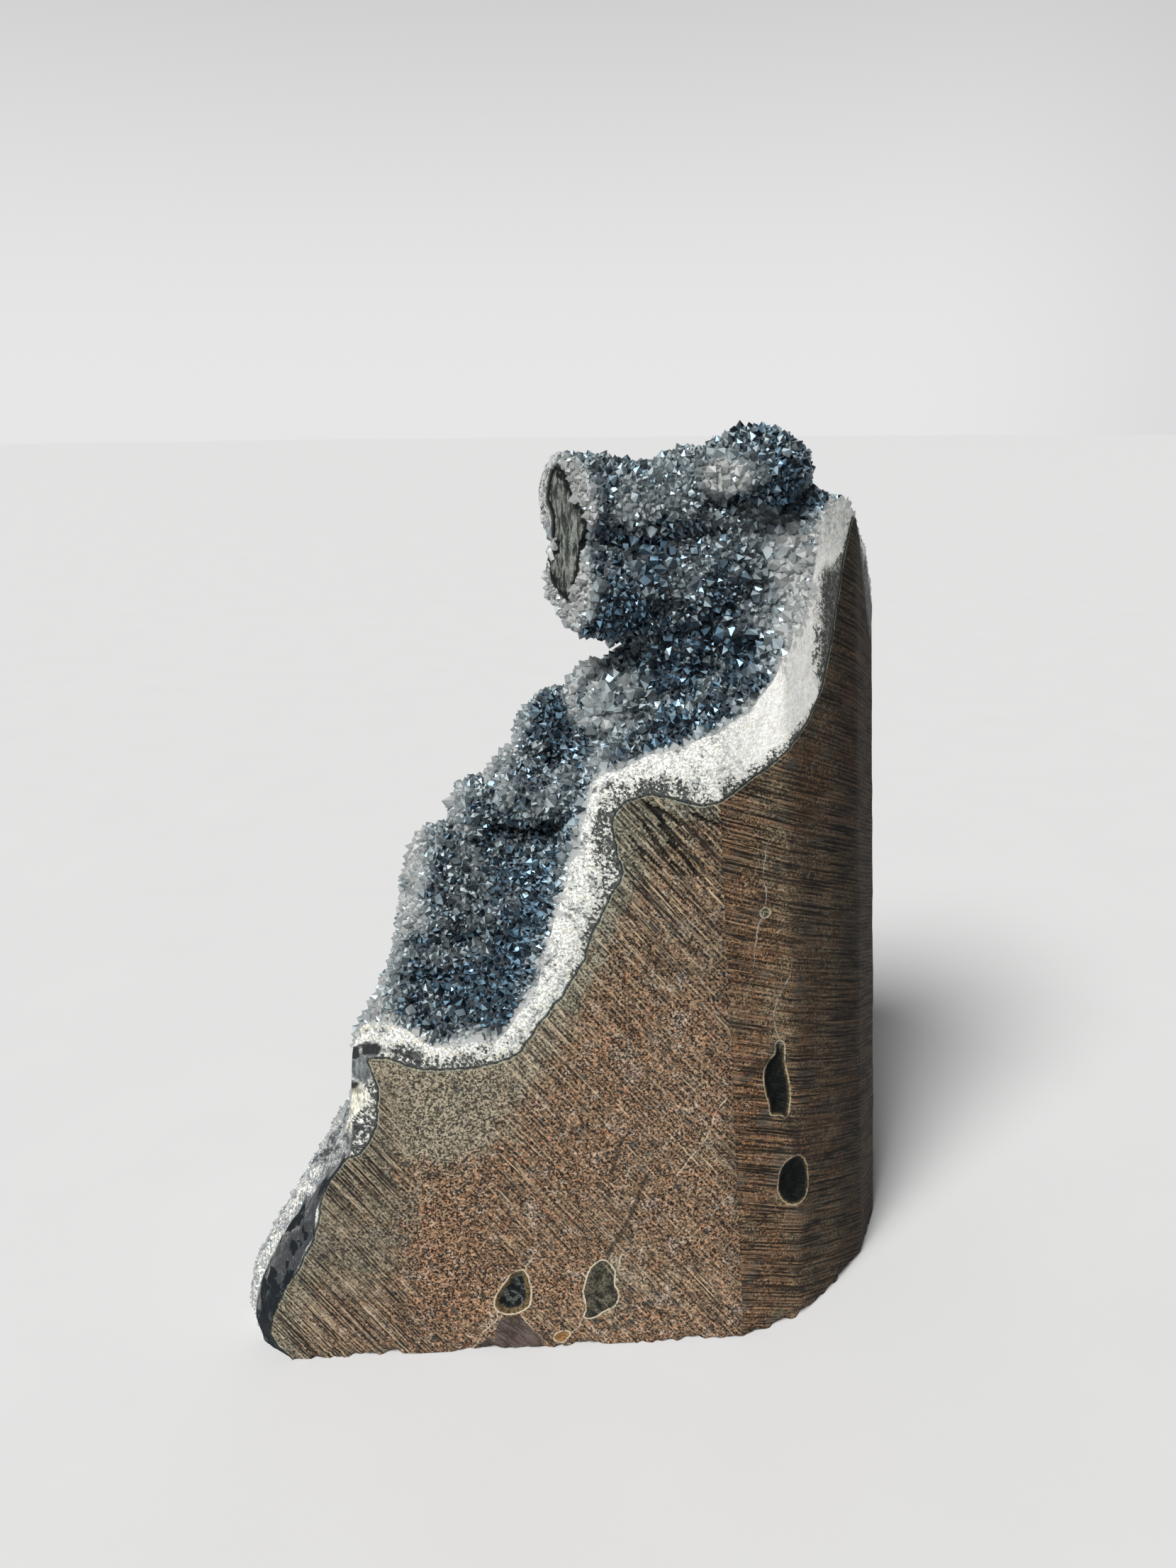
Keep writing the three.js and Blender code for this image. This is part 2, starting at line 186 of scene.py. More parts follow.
def get_attribute(me, name):
    at = me.attributes.get(name)
    out = np.zeros(len(at.data), np.float32)
    at.data.foreach_get("value", out)
    return out


def baked(ob):
    """Applies every modifier of ob."""
    dg = bpy.context.evaluated_depsgraph_get()
    me = bpy.data.meshes.new_from_object(ob.evaluated_get(dg))
    old = ob.data
    ob.modifiers.clear()
    ob.data = me
    if old.users == 0:
        bpy.data.meshes.remove(old)
    return ob


def boolean(ob, others, operation):
    """ob joined with, cut by or kept inside closed objects, which are used up."""
    group = bpy.data.collections.new("operands")
    scene.collection.children.link(group)
    for o in others:
        for c in list(o.users_collection):
            c.objects.unlink(o)
        group.objects.link(o)
    m = ob.modifiers.new("cut", "BOOLEAN")
    m.operation = operation
    m.solver = "MANIFOLD"
    m.operand_type = "COLLECTION"
    m.collection = group
    baked(ob)
    for o in others:
        drop(o)
    bpy.data.collections.remove(group)
    return ob


def copy_of(ob, name):
    return new_object(name, ob.data.copy())


def poly_mesh(name, verts, faces, wall=None, orient=True):
    """Closed mesh from vertices and faces, turned outwards. wall is a number that marks its faces."""
    me = bpy.data.meshes.new(name)
    me.from_pydata([tuple(v) for v in np.asarray(verts, float)], [], faces)
    if wall is not None:
        set_attribute(me, "wall", np.asarray(wall, float) if np.ndim(wall) else np.full(len(me.polygons), float(wall)), "FACE")
    if orient:
        me.calc_loop_triangles()
        n = len(me.loop_triangles)
        t = np.empty(n * 3, np.int32)
        me.loop_triangles.foreach_get("vertices", t)
        t = t.reshape(-1, 3)
        co = coords(me)
        if np.einsum("ij,ij->", co[t[:, 0]], np.cross(co[t[:, 1]], co[t[:, 2]])) < 0:
            me.flip_normals()
    return new_object(name, me)


def ring_object(name, rings, wall):
    """Closed solid through rings of points, all of one length, with flat ends."""
    n, k = len(rings[0]), len(rings)
    verts = np.concatenate([np.asarray(r, float) for r in rings])
    faces = []
    for s in range(k - 1):
        for i in range(n):
            j = (i + 1) % n
            faces.append((s * n + i, s * n + j, (s + 1) * n + j, (s + 1) * n + i))
    faces.append(tuple(range(n - 1, -1, -1)))
    faces.append(tuple((k - 1) * n + i for i in range(n)))
    return poly_mesh(name, verts, faces, wall)


def catmull(points, ts, tension):
    """points (count, dims) at parameters ts from 0 to 1."""
    p = np.asarray(points, float)
    p = np.concatenate([[2 * p[0] - p[1]], p, [2 * p[-1] - p[-2]]])
    last = len(p) - 3
    u = np.asarray(ts, float) * last
    i = np.clip(np.floor(u).astype(int), 0, last - 1)
    w = (u - i).reshape((-1,) + (1,) * (p.ndim - 1))
    a, b, c, d = p[i], p[i + 1], p[i + 2], p[i + 3]
    t0, t1 = tension * (c - a), tension * (d - b)
    return b + t0 * w + (-3 * b + 3 * c - 2 * t0 - t1) * w ** 2 + (2 * b - 2 * c + t0 + t1) * w ** 3


def nearest(tree, p):
    """Distance from each point to the tree's surface, negative inside it, and the nearest point."""
    d = np.empty(len(p))
    q = np.empty((len(p), 3))
    for k, v in enumerate(p):
        loc, nor, _, dist = tree.find_nearest(v)
        q[k] = loc
        d[k] = dist if (v[0] - loc[0]) * nor[0] + (v[1] - loc[1]) * nor[1] + (v[2] - loc[2]) * nor[2] >= 0 else -dist
    return d, q


# ------------------------------------------------------------------ driving shapes
LEAN = 0.070                  # the right-hand cuts lean left by this much per mm of height
RIGHT_X = 125.0
BACK = 108.0
END_POINT = np.array([-3.6, 27.0, 212.0])
END_NORMAL = np.array([math.cos(math.radians(27)), math.sin(math.radians(27)), 0.0])
END_ACROSS = np.array([-END_NORMAL[1], END_NORMAL[0], 0.0])
CELL = 0.62                   # mesh spacing on the sawn front
VOXEL = 1.3                   # mesh spacing on the grown and broken surfaces

# Profiles of the whole specimen: depth behind the front, then (x, z) from the lower left
# corner up the left side and across the crystals to the top right.
WHOLE = [
    (0, [(-79, 0), (-84, 9), (-81, 20), (-76, 28), (-70, 40), (-68, 51), (-61.5, 62), (-60, 69), (-59, 83), (-57.6, 94), (-54.5, 99.5), (-49, 100.2), (-44, 97), (-38, 93), (-30, 93.3), (-22.5, 93), (-17, 101.5), (-10.8, 113), (-7, 128), (-1.6, 146), (0.5, 157), (5, 162), (15.5, 165.5), (26, 169), (35, 172), (42, 178), (47, 186), (53, 194), (56, 206), (57.5, 219), (66, 219.5), (74, 208), (80, 198)]),
    (8, [(-88.5, 0), (-90, 9), (-87.2, 20), (-82, 31), (-74.6, 43), (-70.2, 49), (-63.8, 57.5), (-60.8, 67), (-59, 80), (-57.5, 92), (-54.5, 99.5), (-50, 102), (-45, 101.5), (-38, 100), (-30, 100), (-22.5, 101), (-17, 108), (-12, 118), (-8.2, 131), (-3.6, 147), (-1, 158), (4.5, 164), (14, 168.5), (24, 172), (33, 175), (40.5, 179), (45.5, 185.5), (52, 194), (55.5, 206), (57, 219), (65.5, 219.5), (74, 208), (80, 198)]),
    (15, [(-91.5, 0), (-92.7, 11), (-90.3, 20), (-84.3, 31.5), (-77, 43.5), (-73, 50.5), (-66.6, 60), (-62, 69), (-59, 80), (-57, 89.5), (-54, 97), (-50.5, 104), (-45, 107), (-38, 107), (-30, 107), (-22.5, 109), (-17, 115), (-12.5, 124), (-8.6, 136), (-4.6, 149), (-1.5, 158.5), (4, 165.5), (13, 170), (23, 174), (32, 178), (39.5, 182), (45, 187.5), (51.5, 195), (55, 206), (57, 218.5), (65.5, 219.5), (74, 208), (80, 198)]),
    (27, [(-93.5, 0), (-94.3, 9), (-88.3, 21), (-81.3, 32), (-74.3, 44), (-69.8, 52), (-64.3, 60.5), (-61, 69.5), (-59, 79), (-56, 87), (-52.8, 95.5), (-48.6, 105), (-44.5, 115), (-38, 119), (-30, 119), (-22, 121), (-16, 127.5), (-12.5, 136), (-9.5, 144), (-5.5, 153), (-1.5, 161), (4, 167), (12, 173), (21.5, 177.5), (30, 182.5), (37, 188), (42, 193), (47.5, 199), (52, 208), (55, 218), (64.5, 219.5), (72.5, 208.5), (79, 196)]),
    (42, [(-93, 0), (-92.3, 9), (-85.3, 20), (-78.8, 31), (-72.3, 42.5), (-67.4, 51), (-64.3, 60), (-61.8, 69), (-58, 78), (-54.5, 87), (-50.5, 97), (-48.8, 109), (-46.7, 123), (-42.4, 132), (-36, 134.5), (-28.5, 136.5), (-27.6, 145), (-22.3, 151.3), (-16.8, 156.3), (-14.8, 165), (-10.3, 170), (-2, 171.5), (7, 176.5), (14, 184), (21, 194), (25, 203), (27, 214), (29.5, 226), (38, 230.5), (47, 229), (60, 219.5), (71.5, 208), (79, 193)]),
    (58, [(-90.5, 0), (-89.2, 9), (-82.8, 20), (-76.3, 31), (-70.3, 41.5), (-67, 50.5), (-65, 60), (-61, 69), (-56.5, 78), (-52, 87.5), (-49, 97), (-47.5, 108), (-44, 120), (-39.5, 128), (-33, 130), (-27, 132), (-24, 141), (-18, 149), (-13, 154), (-10.5, 162), (-6, 166.5), (1, 169), (9.5, 176), (17, 185), (23, 196), (28, 208), (33, 218), (38.5, 224), (46, 226.5), (53, 222.5), (61.5, 213), (70, 202), (77, 187)]),
    (74, [(-86.5, 0), (-85.3, 9), (-79.8, 20), (-73.8, 31), (-68.8, 42), (-65.8, 51.5), (-62, 60), (-57.5, 69.5), (-52.5, 79), (-47, 87), (-43.5, 95), (-40.5, 104), (-37, 114), (-32.5, 121), (-27, 125.5), (-20.5, 129), (-16, 136), (-11.5, 142), (-6.5, 148), (-2.5, 155), (2.5, 160), (9, 165), (16, 171), (22.5, 179), (28.5, 188), (34, 197), (39.5, 205), (45, 210), (50.5, 212), (56, 208.5), (62.5, 200.5), (69, 191), (75, 178)]),
    (86, [(-79, 0), (-79, 10), (-76, 21), (-71.5, 32), (-66.5, 42), (-61.5, 51), (-56, 58.5), (-51, 66), (-46, 73.5), (-40.5, 80.5), (-36, 88), (-32.5, 96), (-28.5, 104.5), (-24, 111), (-19, 116), (-13, 119.5), (-8, 126), (-3.5, 132), (1, 138), (5.5, 144.5), (10, 150), (16, 155.5), (22.5, 161.5), (28.5, 168.5), (34, 176.5), (39, 184), (44, 190.5), (48.5, 194.5), (53, 195), (57.5, 191.5), (63, 185), (69, 176), (74, 163)]),
]

# Profiles of the basalt under the quartz, in the same way.
MATRIX = [
    (0, [(-80, 0), (-85, 9), (-82, 20), (-77, 28), (-71, 40), (-69, 51), (-62, 62), (-57.5, 64), (-53.5, 72), (-52.8, 82), (-54.5, 90.6), (-48, 89.8), (-41, 87), (-31, 87.2), (-23, 88.3), (-17, 91.6), (-11, 100.8), (-6.3, 106.7), (-1.8, 114.7), (1, 122.7), (4.2, 129.9), (7.9, 137), (5.6, 147), (8.5, 155.5), (17.8, 155.9), (28.7, 154), (37, 157), (44, 160.5), (51, 166.5), (57.5, 171), (60, 182), (61, 194), (62.5, 206), (66, 209), (80, 190)]),
    (8, [(-89.5, 0), (-91, 9), (-88, 20), (-83, 31), (-75, 43), (-70.5, 49), (-64, 57), (-58, 63), (-54, 72), (-52.8, 82), (-53, 89), (-47, 90), (-40, 90), (-31, 91), (-23, 92.5), (-16.5, 97), (-11, 105), (-6.8, 111.5), (-2.6, 119), (0, 127), (3, 134), (6, 141), (5.5, 150), (9, 157), (17.5, 159), (27.5, 159.5), (36.5, 160.5), (44, 162.5), (51, 167), (57, 171), (60, 182), (61, 194), (62.5, 206), (66, 209), (80, 190)]),
    (15, [(-86.5, 0), (-87.5, 9), (-85, 20), (-79, 31), (-72.5, 42), (-68.5, 49), (-62, 57.5), (-57.5, 65), (-54, 74), (-51, 83), (-48.5, 91), (-45, 95), (-39, 96), (-31, 97.5), (-23, 99.5), (-16, 104), (-10.5, 112), (-7, 119), (-3.2, 127), (-0.5, 134), (2.5, 141), (5, 148), (7.5, 154.5), (12.5, 159.5), (20, 162), (28.5, 163.5), (37, 164.5), (44, 166.5), (50.5, 169.5), (56, 173.5), (59.5, 183), (60.5, 194), (62, 206), (66, 210), (80, 190)]),
    (24, [(-88, 0), (-88.6, 9), (-84, 20), (-77.5, 31), (-70.5, 43), (-66, 50.5), (-60.5, 58), (-56.8, 67), (-53.6, 76), (-50.3, 84.5), (-47.3, 93), (-44, 101), (-38, 105), (-31, 106), (-24, 108), (-16, 113), (-10, 121), (-6.5, 129), (-3.2, 137), (-0.2, 144), (2.8, 149.5), (7, 155), (13, 161), (21, 165), (29, 168), (37, 171), (44, 173.5), (51, 177), (56.5, 181), (60, 188), (61.5, 196), (62.8, 205), (64.5, 214), (68, 216), (80, 192)]),
    (31, [(-88.5, 0), (-88.5, 9), (-83, 20), (-76, 31), (-69, 43), (-64.5, 50.5), (-59.8, 58), (-56.5, 67), (-53.5, 76), (-49.5, 84.5), (-46, 93.5), (-42.6, 103), (-37.5, 110), (-30.5, 113), (-23, 115.5), (-15.5, 121), (-10.5, 130), (-7, 137), (-3.5, 143), (-0.5, 149.5), (2.6, 154.5), (7.5, 159), (14, 165), (22, 170), (30, 175), (37.5, 181), (43.5, 187), (48.5, 192.5), (53.5, 198), (58.5, 204), (62, 209.5), (64.5, 215.5), (67, 217), (69.5, 213.5), (79, 193)]),
    (42, [(-88, 0), (-87, 9), (-80.5, 19), (-74, 30), (-67.5, 41), (-62.5, 49), (-59.5, 58), (-56.5, 67), (-52.8, 76), (-48.8, 85), (-44.5, 95), (-42.4, 106), (-40.4, 116.5), (-35.5, 123.5), (-28, 127), (-20.5, 129.5), (-18, 139), (-13, 145.5), (-8.5, 151), (-6, 158), (-2, 162), (4, 165), (12, 170.5), (20, 178), (28, 188), (33, 197), (36, 207), (39.5, 215.5), (44, 218.5), (48, 218), (53, 215), (58, 211.5), (64, 207.5), (70, 202), (78, 187)]),
    (58, [(-85.5, 0), (-84, 9), (-78, 19), (-71.5, 30), (-65.5, 40.5), (-62, 49.5), (-60, 58.5), (-56, 67.5), (-51, 77), (-46.3, 86.5), (-43, 96), (-41, 106), (-37.5, 115.5), (-32.5, 121), (-25.5, 123.5), (-18.5, 126.5), (-15, 135), (-10, 141.5), (-5.5, 147), (-2, 154), (3, 158.5), (10, 163), (17.5, 170), (24.5, 179), (30, 189.5), (35, 200), (39.5, 209), (43.5, 214), (48, 215.5), (52, 213), (56, 208.5), (60.5, 203), (65, 197.5), (70, 191), (76.5, 178)]),
    (76, [(-82, 0), (-80.5, 9), (-75, 19), (-69, 30), (-64, 40.5), (-60.5, 50), (-56.5, 59), (-52, 67.5), (-47, 76.5), (-42, 84.5), (-38.5, 92.5), (-35.5, 101), (-32, 110), (-27.5, 116.5), (-22, 121), (-15.5, 124.5), (-10.5, 131.5), (-6, 137.5), (-1.5, 143.5), (2.5, 150.5), (7.5, 156.5), (14, 161.5), (21, 167.5), (27.5, 175.5), (33.5, 184.5), (38.5, 193.5), (43, 200.5), (46.5, 205), (50, 206.5), (53.5, 205), (57.5, 200.5), (62, 195), (66.5, 189), (71, 182), (76, 169)]),
    (94, [(-77, 0), (-77, 9), (-73, 19), (-68, 29), (-63, 39), (-58.5, 48), (-53.5, 56.5), (-48.5, 65), (-43, 73), (-37.5, 80), (-33.5, 88), (-29.5, 96), (-25.5, 104), (-21.5, 110), (-16.5, 114.5), (-10.5, 118), (-6, 124), (-1.5, 130), (3.5, 136), (7.5, 142), (12, 147), (18, 152), (24.5, 158), (30.5, 165), (36, 173), (41, 180), (45, 186.5), (48.5, 190.5), (52, 191.5), (56, 189.5), (60, 184.5), (64, 179), (68.5, 172), (73, 165), (78, 151)]),
    (108, [(-64, 0), (-66, 9), (-65, 18), (-61, 27), (-56, 36), (-51.5, 44), (-46.5, 52), (-41.5, 59), (-36, 66), (-30.5, 73), (-26, 80), (-22, 87), (-17.5, 94), (-13.5, 100), (-8.5, 105), (-3, 109), (2, 115), (6.5, 120), (11, 125.5), (15, 131), (19.5, 136), (25, 141), (31, 146.5), (36.5, 153), (41, 160), (45.5, 167), (49, 172), (52, 175), (55, 176), (58.5, 174), (62, 170), (66, 164), (70, 158), (74.5, 150), (80, 136)]),
]

BARREL_TOP = [(-16, 27, 220.6, 10.8, 10.6), (-4, 27, 220.8, 11.2, 10.2), (4, 27.5, 220.6, 11.2, 9.6), (12, 28.5, 219.8, 11.8, 9.0), (20, 30.5, 219.9, 12.4, 9.0), (28, 33, 221.5, 12.4, 9.6), (36, 37, 221, 12, 10.6), (46, 42, 219, 11.4, 10), (56, 44, 215, 9, 8)]
BARREL_LOW = [(-16, 27, 203.6, 7, 7), (-7, 27, 202.8, 8.6, 8.6), (0, 27, 201.3, 10.2, 10.6), (8, 27.5, 201.0, 11.0, 12.6), (20, 29, 201.0, 12.2, 13.2), (32, 33, 201, 12.8, 13.4), (44, 38, 203, 12, 12)]
CORE_TOP = [(3, 28.5, 219.5, 5.0, 4.6), (20, 32, 219, 5, 4.4), (34, 40, 216, 4.6, 4.6), (52, 45, 208, 5, 5), (68, 50, 200, 6, 6)]
CORE_LOW = [(3, 28, 203.4, 4.6, 4.8), (34, 36, 202, 5, 5.2), (54, 44, 200, 5, 5)]
CORE_END = [(6.0, 228.0), (8.6, 221.2), (6.1, 217.2), (6.0, 211.9), (3.6, 210.7), (8.7, 206.1), (6.4, 201.0), (-1.1, 197.6), (-3.2, 201.2), (-5.8, 204.6), (-6.6, 208.9), (-8.8, 212.2), (-10.2, 215.4), (-9.2, 218.8), (-4.6, 221.6), (0.4, 228.0)]
LOBES = [
    (42.1, 33.4, 227.2, 13.2, 13.4, 9.0), (40, 42, 222, 11, 11, 9.5), (27, 41, 221, 10.5, 12, 10.6), (-36.5, 38, 116, 11.5, 16, 15), (-38.5, 30, 101, 11, 14, 11),
    (-19.5, 44, 134.5, 10, 15, 14), (-6, 43, 156, 10.5, 15, 14), (7.5, 43, 167, 12, 15, 11.5), (-29, 26, 101, 14, 13, 11.5),
    (0, 26, 147, 10.5, 14, 13), (22, 35, 175, 13, 15, 10), (8.5, 23.5, 169.5, 7.5, 9.5, 8.5), (-25, 40, 141, 9, 12, 7), (-13, 28, 149, 8, 10, 8),
    # where the lower barrel grows out of the wall
    (26, 31, 187, 12, 10, 10.5), (38, 32, 191, 13, 11, 13), (50, 34, 200, 9, 10, 16),
]
# the sawn outline seen from above: the front, five facets to the right, one to the back
CUT = [(-112, 0), (41.5, 0), (59, 7.2), (73, 20.2), (82.3, 30.3), (92.2, 50), (94.6, 70), (91, 90), (135, 135), (-112, 135)]
WIDTHS = [math.dist(CUT[i], CUT[i + 1]) for i in range(1, 7)]
START = np.concatenate([[0], np.cumsum(WIDTHS)])   # distance along the facets from the first fold


def profile_rings(table, per, along, extend, bottom):
    """Rings in planes of constant y: per profile step and per point along it, smoothed both ways."""
    t = np.array([[(x, y, z) for x, z in p] for y, p in table], float)
    t = catmull(t, np.linspace(0, 1, (len(t) - 1) * per + 1), 0.35)
    t = np.swapaxes(t, 0, 1)
    t = catmull(t, np.linspace(0, 1, (len(t) - 1) * along + 1), 0.4)
    t = np.swapaxes(t, 0, 1)
    rings = []
    for k, y in extend[0]:
        r = t[k].copy()
        r[:, 1] = y
        rings.append(r)
    rings += list(t)
    for k, y in extend[1]:
        r = t[k].copy()
        r[:, 1] = y
        rings.append(r)
    out = []
    for r in rings:
        y = r[0, 1]
        out.append(np.concatenate([r, [[RIGHT_X, y, r[-1, 2]], [RIGHT_X, y, bottom], [r[0, 0], y, bottom]]]))
    return out


def barrel_rings(stations, sides):
    rings = []
    for x, y, z, ry, rz in stations:
        a = np.arange(sides) / sides * 2 * math.pi
        rings.append(np.stack([np.full(sides, float(x)), y + np.cos(a) * ry, z + np.sin(a) * rz], 1))
    return rings


def smooth_stations(st, n):
    return [tuple(v) for v in catmull(np.array(st, float), np.linspace(0, 1, n), 0.4)]


def prism_object(name, outline, z0, z1, lean, rows, columns, walls):
    """Upright prism. rows splits the height, columns the walls that are to be fine."""
    zs = np.linspace(z0, z1, rows + 1)
    verts, wall_cols = [], []
    n = len(outline)

    def at(i, f, z):
        (xa, ya), (xb, yb) = outline[i], outline[(i + 1) % n]
        x, y = xa + (xb - xa) * f, ya + (yb - ya) * f
        la = lean * z if xa > -50 else 0.0
        lb = lean * z if xb > -50 else 0.0
        return (x - la - (lb - la) * f, y, z)

    # columns of vertices, one per outline point and per split of a wall
    cols = []
    for i in range(n):
        cols.append((i, 0.0, i if columns[i] > 0 or columns[i - 1] > 0 else None))
        for k in range(1, columns[i]):
            cols.append((i, k / columns[i], i))
    index = {}
    for c, (i, f, _) in enumerate(cols):
        fine = columns[i] > 0 or (f == 0.0 and columns[i - 1] > 0)
        zz = zs if fine else (zs[0], zs[-1])
        index[c] = list(range(len(verts), len(verts) + len(zz)))
        verts += [at(i, f, z) for z in zz]
    faces, ids = [], []
    m = len(cols)
    for c in range(m):
        d = (c + 1) % m
        a, b = index[c], index[d]
        i = cols[c][0]
        if columns[i] > 0:
            for r in range(rows):
                faces.append((a[r], b[r], b[r + 1], a[r + 1]))
                ids.append(walls[i])
        else:
            faces.append(tuple(a[::-1]) + tuple(b))
            ids.append(walls[i])
    faces.append(tuple(index[c][0] for c in range(m))[::-1])
    faces.append(tuple(index[c][-1] for c in range(m)))
    ids += [30, 30]
    return poly_mesh(name, verts, faces, ids)


def block_object(name, centre, axes, half, splits, wall):
    """Box with one finely split face, at +axes[0]."""
    u, v = splits
    verts, faces, ids = [], [], []
    grid = {}
    for a in range(u + 1):
        for b in range(v + 1):
            grid[a, b] = len(verts)
            verts.append(centre + axes[0] * half[0] + axes[1] * half[1] * (2 * a / u - 1) + axes[2] * half[2] * (2 * b / v - 1))
    far = {}
    for a in (0, u):
        for b in (0, v):
            far[a, b] = len(verts)
            verts.append(centre - axes[0] * half[0] + axes[1] * half[1] * (2 * a / u - 1) + axes[2] * half[2] * (2 * b / v - 1))
    for a in range(u):
        for b in range(v):
            faces.append((grid[a, b], grid[a + 1, b], grid[a + 1, b + 1], grid[a, b + 1]))
            ids.append(wall)
    faces.append((far[0, 0], far[0, v], far[u, v], far[u, 0]))
    faces.append(tuple([far[0, 0], far[u, 0]] + [grid[a, 0] for a in range(u, -1, -1)]))
    faces.append(tuple([far[u, v], far[0, v]] + [grid[a, v] for a in range(0, u + 1)]))
    faces.append(tuple([far[0, v], far[0, 0]] + [grid[0, b] for b in range(0, v + 1)]))
    faces.append(tuple([far[u, 0], far[u, v]] + [grid[u, b] for b in range(v, -1, -1)]))
    ids += [31] * 5
    return poly_mesh(name, verts, faces, ids)


# ------------------------------------------------------------------ the grown and broken outside
def whole_object():
    body = ring_object("body", profile_rings(WHOLE, 4, 4, ([(0, -12.0)], []), -10.0), 0)
    back = ring_object("back", profile_rings(MATRIX, 3, 4, ([(0, -12.0)], [(-1, 122.0)]), -10.0), 0)
    parts = [back]
    parts.append(ring_object("top", barrel_rings(smooth_stations(BARREL_TOP, 14), 32), 0))
    parts.append(ring_object("low", barrel_rings(smooth_stations(BARREL_LOW, 14), 32), 0))
    for k, (x, y, z, rx, ry, rz) in enumerate(LOBES):
        bm = bmesh.new()
        bmesh.ops.create_icosphere(bm, subdivisions=4, radius=1.0)
        me = bpy.data.meshes.new("lobe")
        bm.to_mesh(me)
        bm.free()
        put_coords(me, coords(me) * np.array([rx, ry, rz]) + np.array([x, y, z]))
        set_attribute(me, "wall", np.zeros(len(me.polygons)), "FACE")
        parts.append(new_object("lobe%d" % k, me))
    boolean(body, parts, "UNION")
    keep = prism_object("keep", [(-106, -14), (125, -14), (125, 61), (91, 90), (77, 102), (40, BACK), (-20, BACK), (-62, 101), (-88, 84), (-106, 56)], -9, 262, LEAN, 1, [0] * 10, [0] * 10)
    boolean(body, [keep], "INTERSECT")
    m = body.modifiers.new("remesh", "REMESH")
    m.mode = "VOXEL"
    m.voxel_size = VOXEL
    baked(body)
    return body


def rock_surface_object():
    """Everything inside the outer face of the basalt, a little wavy, and past the cuts."""
    rings = profile_rings(MATRIX, 3, 7, ([(0, -8.0)], [(-1, 126.0)]), -14.0)
    n = len(rings[0])
    flat = np.concatenate(rings)
    tang = np.concatenate([np.roll(r, -1, 0) - np.roll(r, 1, 0) for r in rings])
    out = np.stack([-tang[:, 2], np.zeros(len(tang)), tang[:, 0]], 1)
    out /= np.maximum(np.linalg.norm(out, axis=1), 1e-9)[:, None]
    wave = 0.75 * fbm(flat, 5.0, 3, 5) + 0.25 * value_noise(flat, 1.6, 9)
    free = (flat[:, 0] < RIGHT_X - 1) & (flat[:, 2] > -1)
    flat = flat + out * (wave * free)[:, None]
    flat[:, 1] = np.concatenate([r[:, 1] for r in rings])
    rings = [flat[k * n:(k + 1) * n] for k in range(len(rings))]
    rock = ring_object("rock_inside", rings, 40)
    parts = [
        ring_object("core_a", barrel_rings(smooth_stations(CORE_TOP, 8), 20), 40),
        ring_object("core_b", barrel_rings(smooth_stations(CORE_LOW, 8), 20), 40),
    ]
    # the end of the core, with the outline that the cut shows
    ring = np.array(CORE_END)
    closed = np.concatenate([ring[-1:], ring, ring[:2]])
    fine = []
    for i in range(1, len(ring) + 1):
        a, b, c, d = closed[i - 1], closed[i], closed[i + 1], closed[min(i + 2, len(closed) - 1)]
        for w in (0, 0.25, 0.5, 0.75):
            t0, t1 = 0.4 * (c - a), 0.4 * (d - b)
            fine.append(b + t0 * w + (-3 * b + 3 * c - 2 * t0 - t1) * w * w + (2 * b - 2 * c + t0 + t1) * w ** 3)
    fine = np.array(fine)
    at = END_POINT + fine[:, :1] * END_ACROSS + (fine[:, 1:] - END_POINT[2]) * np.array([0, 0, 1.0])
    slabs = [at + END_NORMAL * s for s in (-4.0, 0.0, 1.0)]
    for f, s in ((0.78, 2.2), (0.45, 4.5)):
        mid = np.array([0.5, 211.0])
        small = mid + (fine - mid) * f
        slabs.append(END_POINT + END_NORMAL * s + small[:, :1] * END_ACROSS + (small[:, 1:] - END_POINT[2]) * np.array([0, 0, 1.0]))
    parts.append(ring_object("core_end", slabs, 40))
    return boolean(rock, parts, "UNION")


def tree_of(ob):
    me = ob.data
    me.calc_loop_triangles()
    t = np.empty(len(me.loop_triangles) * 3, np.int32)
    me.loop_triangles.foreach_get("vertices", t)
    return BVHTree.FromPolygons([tuple(v) for v in coords(me)], t.reshape(-1, 3).tolist(), all_triangles=True)


# hollows between the lobes of the druse, as lines through space with a width and a depth
CREASES = [
    (2.6, 2.4, [(6.2, 16.8, 214.6), (12.8, 16.7, 215.4), (18.0, 17.6, 215.2), (24.0, 18.5, 214.6), (30.6, 22.0, 212.6)]),
    (3.4, 4.2, [(29.7, 22.5, 220.8), (34.1, 23.3, 219.6), (41.0, 25.6, 218.0), (46.8, 26.8, 217.6), (53.0, 27.2, 218.2)]),
    (4.0, 3.4, [(3.6, 34.7, 176.1), (4.1, 29.7, 171.1), (1.0, 24.5, 165.1), (-1.5, 15.0, 160.9), (-3.0, 7.6, 155.6)]),
    (3.6, 3.6, [(-22.0, 40.0, 155.8), (-15.3, 34.5, 156.8), (-9.9, 29.7, 156.9), (-4.7, 24.1, 158.8), (-0.7, 20.5, 159.6)]),
    (3.6, 3.4, [(-30.0, 38.0, 139.6), (-23.2, 31.8, 139.6), (-15.8, 28.7, 138.0), (-7.8, 17.2, 142.7), (-3.2, 10.1, 147.7)]),
    (3.4, 2.2, [(-47.0, 24.0, 114.0), (-40.9, 20.8, 113.2), (-30.1, 20.8, 112.5), (-19.1, 17.3, 114.6)]),
    (3.2, 2.0, [(-47.0, 14.0, 105.0), (-40.7, 12.8, 104.8), (-31.8, 12.8, 104.9)]),
]


